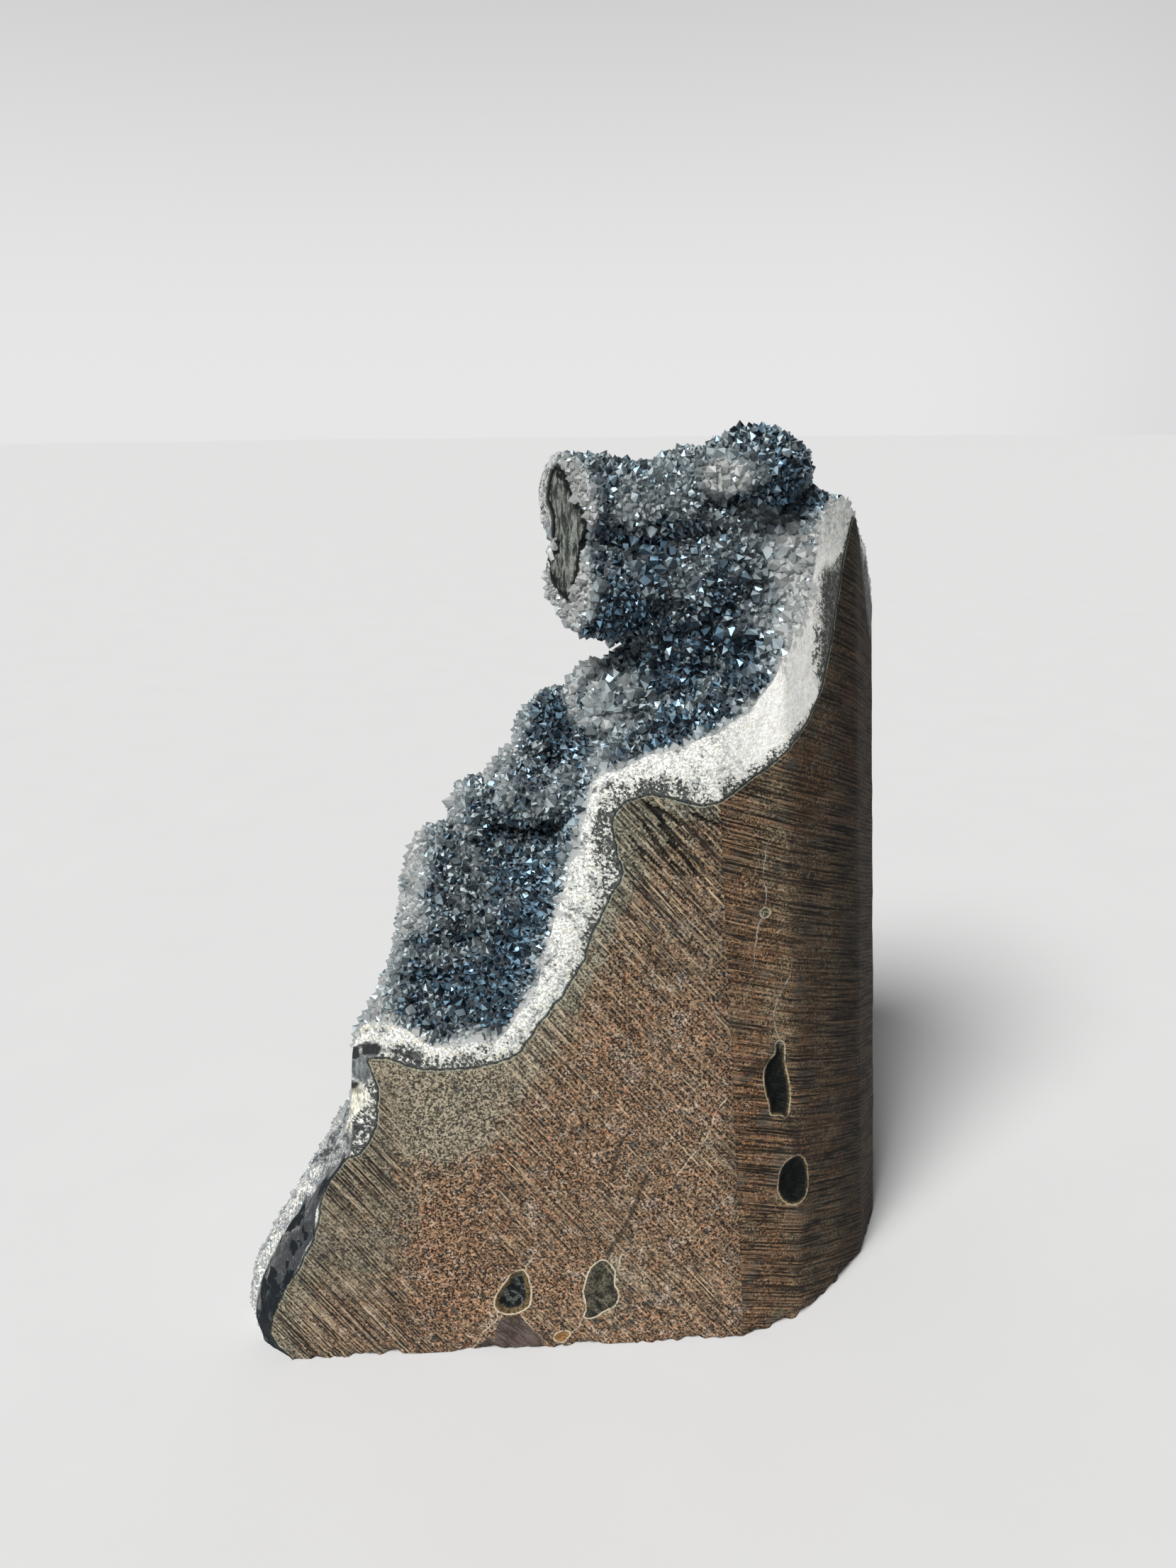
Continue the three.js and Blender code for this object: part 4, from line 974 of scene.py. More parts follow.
def point_meshes(name, p, m, r, paleness_and_painted_light, group, rng):
    """One object per group of separate crystals. Each is a six-sided prism with a six-faced point, no two alike."""
    n = len(p)
    axis = m + rng.normal(0, 0.24, (n, 3))
    axis /= np.linalg.norm(axis, axis=1)[:, None]
    other = np.where(np.abs(axis[:, :1]) < 0.7, np.array([[1.0, 0, 0]]), np.array([[0, 1.0, 0]]))
    u = np.cross(axis, other)
    u /= np.linalg.norm(u, axis=1)[:, None]
    v = np.cross(axis, u)
    turn = rng.uniform(0, math.pi / 3, n)
    shoulder = r * rng.uniform(-0.30, 0.55, n)
    top = shoulder + r * rng.uniform(0.85, 1.30, n)
    skew = rng.normal(0, 0.13, (n, 2)) * r[:, None]
    tri = rng.choice([-1.0, 1.0], n) * rng.uniform(0.0, 0.34, n)     # three faces larger than the other three
    verts = np.empty((n, 13, 3))
    flat = rng.uniform(0.82, 1.18, n)
    for k in range(6):
        a = turn + k * math.pi / 3 + rng.normal(0, 0.05, n)
        rad = r * rng.uniform(0.92, 1.08, n)
        d = u * (np.cos(a) * rad * flat)[:, None] + v * (np.sin(a) * rad)[:, None]
        rise = shoulder + r * (tri * (1 if k % 2 else -1) + rng.normal(0, 0.05, n))
        verts[:, k] = p + d * 0.62 - axis * (1.5 + 0.5 * r)[:, None]
        verts[:, 6 + k] = p + d + axis * rise[:, None]
    verts[:, 12] = p + axis * top[:, None] + u * skew[:, :1] + v * skew[:, 1:]
    pattern = [tuple(range(5, -1, -1))]
    for k in range(6):
        j = (k + 1) % 6
        pattern.append((k, j, 6 + j, 6 + k))
        pattern.append((6 + k, 6 + j, 12))
    # side quads whose corners are not in one plane are split the same way every time
    fine = []
    for f in pattern:
        if len(f) == 4:
            fine += [(f[0], f[1], f[2]), (f[0], f[2], f[3])]
        else:
            fine.append(f)
    tint = rng.random(n)
    out = []
    for g in range(group.max() + 1):
        ids = np.nonzero(group == g)[0]
        if not len(ids):
            continue
        faces = []
        for k in range(len(ids)):
            o = 13 * k
            faces += [tuple(o + q for q in f) for f in fine]
        me = bpy.data.meshes.new("%s_%d" % (name, g))
        me.from_pydata(verts[ids].reshape(-1, 3).tolist(), [], faces)
        c = len(fine)
        set_attribute(me, "tint", np.repeat(tint[ids], c), "FACE")
        set_attribute(me, "paleness_and_painted_light", np.repeat(paleness_and_painted_light[ids], c), "FACE")
        # a random number per face, used for painted reflection and shade on the facets
        set_attribute(me, "facet_light", rng.random(len(ids) * c), "FACE")
        out.append(new_object(me.name, me))
    return out


def milky(ob):
    """Crystals cut by this object show milky quartz on the cut."""
    n = len(ob.data.polygons)
    for name, value in (("tint", 0.5), ("paleness_and_painted_light", 0.95), ("facet_light", 0.9)):
        set_attribute(ob.data, name, np.full(n, value), "FACE")


def druse_points(band):
    p, m, r, total = scatter(band)
    paleness_and_painted_light = paleness_and_painted_light_at(p, m)
    print("druse: %.0f mm2, %d crystals" % (total, len(p)))
    order = 0.62 * p[:, 0] + 0.78 * p[:, 2]
    parts = 4
    edges = np.quantile(order, np.linspace(0, 1, parts + 1))
    made = []
    for k in range(parts):
        ids = np.nonzero((order >= edges[k]) & ((order < edges[k + 1]) | (k == parts - 1)))[0]
        rng = np.random.default_rng(500 + k)
        group = colour_groups(p[ids], r[ids], 1.5)
        obs = point_meshes("points%d" % k, p[ids], m[ids], r[ids], paleness_and_painted_light[ids], group, rng)
        base = obs[0]
        boolean(base, obs[1:], "UNION")
        inner = [(x + (0.12 if x > 0 else 0), y + 0.12) if i < 7 else (x, y) for i, (x, y) in enumerate(CUT)]
        inner = [(-112, 0.12), (41.45, 0.12), (58.9, 7.3), (72.9, 20.3), (82.15, 30.35), (92.0, 50.1), (94.45, 70), (90.85, 90), (135, 135), (-112, 135)]
        trim = prism_object("trim", inner, 0.05, 247.0, LEAN, 1, [0] * 10, [0] * 10)
        milky(trim)
        boolean(base, [trim], "INTERSECT")
        # points along the near side and the foot of the stalactite stand past its broken end
        turn = math.radians(8)
        out = END_NORMAL * math.cos(turn) - END_ACROSS * math.sin(turn) - np.array([0, 0, 0.07])
        out /= np.linalg.norm(out)
        across = np.cross(np.array([0, 0, 1.0]), out)
        across /= np.linalg.norm(across)
        pivot = END_POINT + END_ACROSS * 11.0 + END_NORMAL * 0.12 + np.array([0, 0, 14.0])
        end = block_object("end", pivot - out * 30.0, [out, across, np.cross(out, across)], [30.0, 34.0, 27.0], (1, 1), 0)
        milky(end)
        boolean(base, [end], "DIFFERENCE")
        only_largest(base, 8)
        base.name = "druse_points_%d" % (k + 1)
        made.append(base)
    return made


# ------------------------------------------------------------------ places for the colours
def mark_stone(ob, rock_tree):
    me = ob.data
    co = coords(me)
    walls = vertex_walls(me)
    front, side, u = cut_places(co, walls)
    d, _ = nearest(rock_tree, co)
    set_attribute(me, "rim", np.clip(np.abs(d), 0, 40))
    set_attribute(me, "along", u)
    x, y, z = co.T
    q, qs = np.stack([x, z], 1), np.stack([u, z], 1)
    fields = {k: np.full(len(co), -3.0) for k in ("nod_black", "nod_grey", "nod_tan", "nod_wedge")}
    for key, pts, where, at in (
        ("nod_black", NODULE_1, front, q), ("nod_grey", NODULE_2, front, q), ("nod_tan", NODULE_3, front, q), ("nod_wedge", WEDGE, front, q), ("nod_wedge", WEDGE_2, front, q),
        ("nod_black", SPINDLE, side, qs), ("nod_black", OVAL, side, qs), ("nod_black", LENS, side, qs),
    ):
        c = np.array(pts).mean(0)
        idx = np.nonzero(where & (np.hypot(at[:, 0] - c[0], at[:, 1] - c[1]) < 20))[0]
        v = inside_distance(at[idx], pts)
        fields[key][idx] = np.maximum(fields[key][idx], np.clip(v, -3, 9))
    for k, v in fields.items():
        set_attribute(me, k, v)
    vein = np.full(len(co), 5.0)
    mask = np.zeros(len(co))
    dark = np.full(len(co), 9.0)
    for lines, where, at in ((FRONT_VEINS, front, q), (SIDE_VEINS, side, qs)):
        for pts in lines:
            line = curve_of(pts, False)
            lo, hi = line.min(0) - 2, line.max(0) + 2
            idx = np.nonzero(where & (at[:, 0] > lo[0]) & (at[:, 0] < hi[0]) & (at[:, 1] > lo[1]) & (at[:, 1] < hi[1]))[0]
            dd, ss = line_distance(at[idx], line, False)
            wob = 0.25 * value_noise(co[idx], 2.2, 81)
            near = dd < np.abs(vein[idx])
            vein[idx] = np.where(near, dd * ss + wob, vein[idx])
            mask[idx] = np.maximum(mask[idx], smooth(1.6, 1.0, dd))
    for lines, where, at in ((FRONT_DARK, front, q), (SIDE_DARK, side, qs)):
        for pts in lines:
            line = curve_of(pts, False)
            lo, hi = line.min(0) - 3, line.max(0) + 3
            idx = np.nonzero(where & (at[:, 0] > lo[0]) & (at[:, 0] < hi[0]) & (at[:, 1] > lo[1]) & (at[:, 1] < hi[1]))[0]
            dd, ss = line_distance(at[idx], line, False)
            dark[idx] = np.minimum(dark[idx], dd * (0.45 if lines is SIDE_DARK else 1.0))
    set_attribute(me, "vein", vein)
    set_attribute(me, "vein_on", mask)
    set_attribute(me, "dark_line", dark)
    # broad changes of tone over the cuts, and painted shade on the facets that turn away from the light
    d = np.abs(d)
    olive = np.exp(-(((x + 40) / 17) ** 2 + ((z - 76) / 20) ** 2)) * 1.15
    olive = np.maximum(olive, 0.85 * smooth(9, 1.5, d) * front)
    olive = np.maximum(olive, 0.8 * np.exp(-(((x - 16) / 15) ** 2 + ((z - 150) / 9) ** 2)))
    red = 0.50 + 0.35 * fbm(co, 24, 3, 82) + 0.25 * smooth(-35, 0, x) - 0.75 * olive
    red += 0.25 * np.exp(-(((x + 20) / 22) ** 2 + ((z - 58) / 16) ** 2)) + 0.35 * smooth(36, 14, z) * smooth(-10, -40, x) + 0.2 * np.exp(-(((x + 48) / 10) ** 2 + ((z - 14) / 10) ** 2))
    red += 0.40 * smooth(80, 45, z) * smooth(-54, -40, x) * smooth(10, -5, x)
    red += 0.25 * np.exp(-(((x - 14) / 16) ** 2 + ((z - 105) / 22) ** 2))
    red = np.where(side, 0.42 + 0.55 * fbm(co, 14, 3, 83) + 0.25 * smooth(16, 6, u), red)
    set_attribute(me, "red", np.clip(red, 0, 1))
    saw = 0.07 + 0.30 * fbm(co, 20, 2, 84)
    saw += 0.80 * smooth(-38, -58, x) * smooth(92, 80, z) + 0.55 * np.exp(-((d - 4) / 7) ** 2) * smooth(-32, -20, x)
    saw += 0.20 * np.exp(-(((x + 12) / 12) ** 2 + ((z - 80) / 14) ** 2)) + 0.2 * smooth(30, 12, z) * smooth(-20, -40, x)
    saw += 0.75 * np.exp(-(((x - 18) / 14) ** 2 + ((z - 142) / 16) ** 2))
    saw -= 0.50 * np.exp(-(((x + 36) / 12) ** 2 + ((z - 78) / 15) ** 2))
    saw = np.where(side, 0.75 + 0.3 * fbm(co, 18, 2, 85), saw)
    set_attribute(me, "saw", np.clip(saw, 0.05, 1.1))
    brightness_and_painted_shade = np.full(len(co), 0.92)
    # painted shade: the right-hand facets grow darker as they turn away from the light
    brightness_and_painted_shade = np.where(side, 1.0 - 0.52 * smooth(14, 27, u) - 0.20 * smooth(34, 44, u) + 0.06 * smooth(50, 56, u), brightness_and_painted_shade)
    # on the front: lighter low down, darker at the lower left and beside the fold
    brightness_and_painted_shade *= np.where(front, 1 + 0.22 * smooth(30, 14, z), 1)
    brightness_and_painted_shade *= np.where(front, 1 - 0.20 * smooth(-42, -54, x) * smooth(92, 78, z), 1)
    brightness_and_painted_shade *= np.where(front, 1 - 0.25 * smooth(6, 0, 41.5 - LEAN * z - x), 1)
    set_attribute(me, "brightness_and_painted_shade", brightness_and_painted_shade)
    # flat-broken surfaces: dark on the left, brown behind
    rough_left = smooth(-40, -52, x) * smooth(30, 18, y)
    set_attribute(me, "bevel", rough_left)


def mark_band(ob, rock_tree, grown_tree):
    me = ob.data
    co = coords(me)
    nor = np.empty(len(co) * 3, np.float32)
    me.vertex_normals.foreach_get("vector", nor)
    walls = vertex_walls(me)
    front, side, u = cut_places(co, walls)
    a, _ = nearest(rock_tree, co)
    b, _ = nearest(grown_tree, co)
    a, b = np.abs(a), np.abs(b)
    x, y, z = co.T
    set_attribute(me, "rim", np.clip(a, 0, 40))
    set_attribute(me, "skin", np.clip(b, 0, 40))
    wide = 0.5 + 0.6 * fbm(co, 9, 2, 91)
    wide += 4.4 * np.exp(-(((x - 1) / 6.5) ** 2 + ((z - 143) / 13) ** 2)) * front
    wide += 4.0 * np.exp(-(((x - 14) / 15) ** 2 + ((z - 159) / 6) ** 2)) * (front | (u < 8))
    wide += 4.6 * smooth(24, 33, u) * side * smooth(210, 203, z) * smooth(174, 186, z)
    wide += 1.2 * side * smooth(176, 170, z)
    wide += 2.8 * smooth(-54, -46, x) * smooth(-16, -30, x) * smooth(104, 96, z) * front
    edge = a + 1.3 * fbm(co, 3.0, 3, 93)
    speckle = smooth(wide + 0.5 + 0.7 * wide, 0.3 * wide - 0.6, edge)
    # the corner at the lower left
    idx = np.nonzero(front & (x < -38) & (z < 98))[0]
    q = np.stack([x[idx], z[idx]], 1)
    rag = 0.45 * fbm(co[idx], 1.6, 2, 95)
    dark = np.max([inside_distance(q, s) for s in SLOTS], axis=0) + rag
    thin = inside_distance(q, SLOT_THIN) + 2.0 * rag
    fields = {k: np.zeros(len(co)) for k in ("black", "grey", "pale")}
    fields["black"][idx] = np.maximum(smooth(-0.2, 0.2, dark), 0.85 * smooth(-0.1, 0.3, thin))
    fields["grey"][idx] = smooth(-0.1, 0.2, inside_distance(q, CHIP) + 0.4 * rag) * smooth(0.1, -0.1, dark)
    fields["pale"][idx] = smooth(-0.3, 0.3, inside_distance(q, COLUMN) + rag)
    for k, v in fields.items():
        set_attribute(me, k, v)
    corner = smooth(-0.6, 0.9, inside_distance(q, SALT) + rag)
    speckle[idx] = np.where(q[:, 1] < 86, np.maximum(0.15 * speckle[idx], corner), speckle[idx])
    set_attribute(me, "speckle", speckle)
    set_attribute(me, "along", u)
    set_attribute(me, "strip", side * smooth(33, 37, u + 1.5 * value_noise(co, 6, 96)) * smooth(208, 203, z) * smooth(6.5, 5.0, a))
    set_attribute(me, "pitted", smooth(-14, -22, x) * smooth(108, 100, z) * front)
    set_attribute(me, "right", np.where(side, smooth(-4, 14, u), np.where(front, smooth(10, -4, 41.5 - LEAN * z - x) * 0.3, 0)))
    paleness_and_painted_light = paleness_and_painted_light_at(co, nor.reshape(-1, 3).astype(float))
    set_attribute(me, "paleness_and_painted_light", paleness_and_painted_light)
    set_attribute(me, "crust", smooth(-49, -55, x) * smooth(97, 90, z))
    beside = y + 1.0 * fbm(co, 5, 2, 97)
    low = smooth(-50, -56, x) * smooth(97, 88, z)
    # painted shade: near black in the cleft beside the cut, in a hollow low down and along the cut edge
    set_attribute(me, "cleft_shade", low * np.clip(np.exp(-((beside - 6.8) / 1.7) ** 2) * smooth(58, 50, z) + np.exp(-(((y - 3.5) / 3.6) ** 2 + ((x + 67.5) / 3.6) ** 2 + ((z - 48) / 4.2) ** 2)) + smooth(3.5, 1.0, beside) * smooth(50, 56, z) * smooth(68, 62, z), 0, 1))
    set_attribute(me, "shoulder", low * smooth(6.4, 5.2, beside) * smooth(58, 52, z))
    set_attribute(me, "greylump", low * smooth(4.0, 5.5, beside) * smooth(49, 53, z) * smooth(66, 62, z) * smooth(26, 16, y))
    set_attribute(me, "behind", smooth(22, 44, y + 4 * value_noise(co, 9, 98)))


# ------------------------------------------------------------------ materials
class Nodes:
    """A short way to write a node tree."""

    def __init__(self, name):
        self.m = bpy.data.materials.new(name)
        self.m.use_nodes = True
        self.t = self.m.node_tree
        self.t.nodes.clear()
        self.out = self.t.nodes.new("ShaderNodeOutputMaterial")

    def put(self, socket, value):
        if isinstance(value, bpy.types.NodeSocket):
            self.t.links.new(value, socket)
        elif value is not None:
            socket.default_value = value

    def node(self, kind, **inputs):
        n = self.t.nodes.new(kind)
        for k, v in inputs.items():
            self.put(n.inputs[k.replace("_", " ")], v)
        return n

    def math(self, op, a, b=None, c=None, clamp=False):
        n = self.t.nodes.new("ShaderNodeMath")
        n.operation = op
        n.use_clamp = clamp
        for i, v in enumerate((a, b, c)):
            self.put(n.inputs[i], v)
        return n.outputs[0]

    def add(self, a, b):
        return self.math("ADD", a, b)

    def sub(self, a, b):
        return self.math("SUBTRACT", a, b)

    def mul(self, a, b, clamp=False):
        return self.math("MULTIPLY", a, b, clamp=clamp)

    def step(self, lo, hi, v):
        """Smooth step of v, from 0 at lo to 1 at hi (hi may be the lower)."""
        n = self.t.nodes.new("ShaderNodeMapRange")
        n.interpolation_type = "SMOOTHSTEP"
        flip = hi < lo
        self.put(n.inputs["Value"], v)
        n.inputs["From Min"].default_value = min(lo, hi)
        n.inputs["From Max"].default_value = max(lo, hi)
        n.inputs["To Min"].default_value = 1.0 if flip else 0.0
        n.inputs["To Max"].default_value = 0.0 if flip else 1.0
        return n.outputs["Result"]

    def attr(self, name):
        n = self.t.nodes.new("ShaderNodeAttribute")
        n.attribute_name = name
        return n.outputs["Fac"]

    def mix(self, f, a, b, kind="MIX"):
        n = self.t.nodes.new("ShaderNodeMix")
        n.data_type = "RGBA"
        n.blend_type = kind
        n.clamp_factor = True
        self.put(n.inputs[0], f)
        self.put(n.inputs[6], a if isinstance(a, bpy.types.NodeSocket) else (*a, 1))
        self.put(n.inputs[7], b if isinstance(b, bpy.types.NodeSocket) else (*b, 1))
        return n.outputs[2]

    def lerp(self, f, a, b):
        n = self.t.nodes.new("ShaderNodeMix")
        n.data_type = "FLOAT"
        n.clamp_factor = True
        self.put(n.inputs[0], f)
        self.put(n.inputs[2], a)
        self.put(n.inputs[3], b)
        return n.outputs[0]

    def place(self):
        """Place on the object, in millimetres."""
        c = self.t.nodes.new("ShaderNodeTexCoord")
        v = self.t.nodes.new("ShaderNodeVectorMath")
        v.operation = "SCALE"
        self.t.links.new(c.outputs["Object"], v.inputs[0])
        v.inputs["Scale"].default_value = 1000.0
        s = self.t.nodes.new("ShaderNodeSeparateXYZ")
        self.t.links.new(v.outputs[0], s.inputs[0])
        return v.outputs[0], s.outputs[0], s.outputs[1], s.outputs[2]

    def vec(self, x, y, z):
        n = self.t.nodes.new("ShaderNodeCombineXYZ")
        for i, v in enumerate((x, y, z)):
            self.put(n.inputs[i], v)
        return n.outputs[0]

    def noise(self, vector, scale, detail=2.0, rough=0.5, warp=0.0):
        n = self.t.nodes.new("ShaderNodeTexNoise")
        self.t.links.new(vector, n.inputs["Vector"])
        n.inputs["Scale"].default_value = scale
        n.inputs["Detail"].default_value = detail
        n.inputs["Roughness"].default_value = rough
        n.inputs["Distortion"].default_value = warp
        return n.outputs["Fac"]

    def cell(self, vector, scale, what="Distance", feature="F1"):
        n = self.t.nodes.new("ShaderNodeTexVoronoi")
        n.feature = feature
        self.t.links.new(vector, n.inputs["Vector"])
        n.inputs["Scale"].default_value = scale
        return n.outputs[what]

    def bump(self, height, distance, strength=1.0):
        n = self.t.nodes.new("ShaderNodeBump")
        n.inputs["Strength"].default_value = strength
        n.inputs["Distance"].default_value = distance
        self.t.links.new(height, n.inputs["Height"])
        return n.outputs["Normal"]

    def surface(self, **inputs):
        n = self.node("ShaderNodeBsdfPrincipled", **inputs)
        self.t.links.new(n.outputs[0], self.out.inputs["Surface"])
        return n


def saw_lines(n, x, y, z, front):
    """Marks of the saw, 0 in a furrow and 1 on a ridge. They cross the front at 48 to 56 degrees, turning as they go, and fall at 22 degrees along the facets."""
    bend = n.sub(1.36, n.add(n.mul(x, 0.0017), n.mul(z, 0.0012)))
    fs = n.mul(n.add(z, n.mul(x, bend)), 0.604)
    ft = n.sub(n.mul(x, 0.61), n.mul(z, 0.79))
    along = n.attr("along")
    ss = n.mul(n.add(z, n.mul(along, 0.40)), 0.928)
    st = n.sub(n.mul(along, 0.93), n.mul(z, 0.37))
    a = n.lerp(front, ss, fs)
    b = n.lerp(front, st, ft)
    warp = n.mul(n.sub(n.noise(n.vec(n.mul(a, 0.05), n.mul(b, 0.05), 3.0), 1.0, 1.0), 0.5), 0.7)
    aw = n.add(a, warp)
    fine = n.noise(n.vec(n.mul(aw, 1.0), n.mul(b, 0.045), 0.0), 1.0, 3.0, 0.62)
    wave = n.math("SINE", n.mul(n.add(aw, n.mul(n.noise(n.vec(n.mul(a, 0.3), n.mul(b, 0.02), 7.0), 1.0), 1.6)), 2 * math.pi / 1.08))
    wave = n.add(n.mul(wave, 0.5), 0.5)
    hair = n.noise(n.vec(n.mul(aw, 2.3), n.mul(b, 0.11), 11.0), 1.0, 2.0, 0.6)
    return fine, wave, hair, a, b, aw


def stone_material():
    n = Nodes("basalt")
    p, x, y, z = n.place()
    wall = n.attr("wall")
    front = n.mul(n.step(0.4, 0.6, wall), n.step(1.6, 1.4, wall))
    cut = n.mul(n.step(0.4, 0.6, wall), n.step(7.6, 7.4, wall))
    side = n.mul(n.step(1.4, 1.6, wall), n.step(7.6, 7.4, wall))
    core = n.mul(n.step(9.4, 9.6, wall), n.step(10.6, 10.4, wall))
    fine, wave, hair, a, b, aw = saw_lines(n, x, y, z, front)
    saw = n.attr("saw")
    red = n.attr("red")
    rim = n.attr("rim")
    brightness_and_painted_shade = n.attr("brightness_and_painted_shade")
    mott = n.noise(p, 0.20, 4.0, 0.6)
    blot = n.noise(p, 0.50, 3.0, 0.65, 0.6)
    grain = n.noise(p, 1.75, 2.0, 0.7)
    grit = n.noise(p, 5.5, 1.0, 0.6)
    salt = n.noise(p, 1.1, 2.0, 0.7)
    # ground colour
    redder = n.step(0.25, 0.8, n.add(red, n.mul(n.sub(mott, 0.5), 1.3)))
    ground = n.mix(redder, (0.196, 0.176, 0.128), (0.152, 0.092, 0.054))
    ground = n.mix(n.mul(n.step(0.54, 0.66, blot), 0.70), ground, (0.200, 0.160, 0.125))
    ground = n.mix(n.mul(n.step(0.46, 0.32, blot), 0.70), ground, (0.052, 0.037, 0.028))
    pink = n.step(0.55, 0.64, n.noise(n.vec(x, n.add(y, 37.0), z), 0.17, 4.0, 0.62, 0.6))
    ground = n.mix(n.mul(pink, n.lerp(redder, 0.15, 0.65)), ground, (0.235, 0.192, 0.158))
    rust = n.mul(n.step(0.56, 0.68, n.noise(p, 0.34, 3.0, 0.7, 0.8)), n.lerp(red, 0.1, 0.75))
    ground = n.mix(rust, ground, (0.215, 0.092, 0.046))
    teal = n.step(0.60, 0.72, n.noise(n.vec(n.add(x, 71.0), y, z), 0.24, 3.0, 0.6, 0.4))
    ground = n.mix(n.mul(teal, 0.55), ground, (0.105, 0.118, 0.112))
    ground = n.mix(1.0, ground, n.mul(n.lerp(n.step(0.43, 0.57, grain), n.lerp(redder, 0.24, 0.08), n.lerp(redder, 1.84, 2.06)), n.lerp(n.step(0.40, 0.60, salt), n.lerp(redder, 0.82, 0.62), n.lerp(redder, 1.18, 1.38))), "MULTIPLY")
    near = n.mul(n.step(18.0, 5.0, rim), n.step(98.0, 112.0, z))
    ground = n.mix(n.mul(near, 0.45), ground, n.mix(1.0, ground, (0.62, 0.80, 0.88), "MULTIPLY"))
    # blue-black specks, commoner near the quartz, and small white flecks
    sp = n.noise(p, 0.85, 2.5, 0.62)
    many = n.lerp(n.step(30, 8, rim), 0.335, 0.395)
    speck = n.mul(n.step(0.012, -0.012, n.sub(sp, many)), n.step(0.42, 0.52, n.noise(p, 0.10, 2.0)))
    ground = n.mix(n.mul(speck, 0.85), ground, (0.016, 0.020, 0.022))
    big = n.add(n.cell(p, 0.21), n.mul(n.sub(n.noise(p, 0.8, 3.0, 0.7), 0.5), 0.55))
    big = n.mul(n.step(0.30, 0.20, big), n.mul(n.step(0.50, 0.60, n.noise(p, 0.055, 2.0)), n.step(40, 22, rim)))
    ground = n.mix(n.mul(big, 0.80), ground, (0.020, 0.024, 0.026))
    fl = n.cell(p, 0.25)
    fleck = n.mul(n.math("LESS_THAN", n.add(fl, n.mul(n.sub(grit, 0.5), 0.12)), 0.10), cut)
    ground = n.mix(n.mul(fleck, 0.60), ground, (0.40, 0.40, 0.36))
    # bands across the facets: rusty, black and blue-grey streaks
    streak = n.noise(n.vec(n.mul(a, 0.34), n.mul(b, 0.045), 5.0), 1.0, 3.0, 0.7)
    ground = n.mix(n.mul(n.mul(n.step(0.52, 0.66, streak), side), 0.65), ground, (0.200, 0.112, 0.072))
    ground = n.mix(n.mul(n.mul(n.step(0.48, 0.34, streak), side), 0.80), ground, (0.024, 0.026, 0.026))
    patch = n.noise(n.vec(n.mul(a, 0.11), n.mul(b, 0.09), 19.0), 1.0, 2.0, 0.6)
    ground = n.mix(n.mul(n.mul(n.step(0.54, 0.64, patch), side), 0.70), ground, (0.085, 0.100, 0.100))
    # saw marks: soft dark furrows, painted shade in the hollows of the cut, and thin cream threads that break up into
    # dashes
    dash = n.step(0.44, 0.56, n.noise(n.vec(n.mul(a, 1.3), n.mul(b, 0.22), 23.0), 1.0, 3.0, 0.75))
    furrow_shade = n.mul(n.add(n.mul(n.step(0.49, 0.42, fine), n.lerp(side, 0.80, 1.0)), n.mul(n.step(0.40, 0.05, wave), n.lerp(side, 0.34, 0.45))), saw)
    ridge = n.mul(n.mul(n.step(0.55, 0.61, fine), n.lerp(side, 0.45, 0.75)), saw)
    comb = n.mul(n.step(0.70, 0.97, wave), n.step(0.38, 0.56, hair))
    thread_on = n.noise(n.vec(n.mul(aw, 1.55), n.mul(b, 0.030), 31.0), 1.0, 1.0, 0.5)
    bright = n.add(n.mul(comb, 0.75), n.step(0.60, 0.70, thread_on))
    bright = n.mul(n.mul(bright, n.lerp(dash, 0.12, 1.0)), n.lerp(n.step(0.05, 0.75, saw), 0.10, 0.95))
    sawn = n.mix(n.mul(furrow_shade, 0.86, clamp=True), ground, (0.016, 0.013, 0.011))
    # painted shade: the deepest furrows nearly black
    deep = n.noise(n.vec(n.mul(aw, 0.66), n.mul(b, 0.028), 51.0), 1.0, 3.0, 0.66)
    deep = n.mul(n.step(0.47, 0.41, deep), n.step(0.35, 0.85, saw))
    sawn = n.mix(n.mul(deep, 0.86), sawn, (0.010, 0.009, 0.008))
    sawn = n.mix(n.mul(ridge, 0.66, clamp=True), sawn, n.mix(side, (0.40, 0.33, 0.235), (0.30, 0.215, 0.145)))
    sawn = n.mix(n.mul(bright, 0.72, clamp=True), sawn, n.mix(side, (0.56, 0.45, 0.30), (0.46, 0.33, 0.215)))
    # painted shade: fine dark hairlines along the furrows
    sawn = n.mix(n.mul(n.step(0.42, 0.30, hair), 0.45), sawn, (0.020, 0.017, 0.014))
    sawn = n.mix(n.mul(n.mul(n.step(0.62, 0.74, salt), n.step(0.3, 0.6, saw)), 0.35), sawn, (0.42, 0.35, 0.25))
    sawn = n.mix(n.mul(side, 0.55), sawn, n.mix(1.0, sawn, (1.02, 0.82, 0.62), "MULTIPLY"))
    # painted shade: the cut stone is multiplied by its brightness marks, and the right-hand facets are darkened by a
    # further fifth
    sawn = n.mix(1.0, sawn, n.mix(n.mul(brightness_and_painted_shade, n.lerp(side, 1.0, 0.80)), (0, 0, 0), (1, 1, 1)), "MULTIPLY")
    # grooves: painted shade, near black inside them, on top of their pressed-in depth
    groove = n.step(0.15, 0.75, n.attr("groove"))
    sawn = n.mix(n.mul(groove, 0.92), sawn, (0.006, 0.006, 0.006))
    # dark line and pale thread next to the quartz
    rimw = n.add(rim, n.mul(n.sub(n.noise(p, 0.9, 2.0), 0.5), 0.5))
    sawn = n.mix(n.mul(n.step(0.42, 0.18, rimw), 0.85), sawn, (0.014, 0.018, 0.018))
    thread = n.mul(n.step(0.34, 0.46, rimw), n.step(0.72, 0.58, rimw))
    sawn = n.mix(n.mul(thread, n.lerp(n.step(0.4, 0.6, n.noise(p, 0.3)), 0.20, 0.70)), sawn, (0.26, 0.30, 0.25))
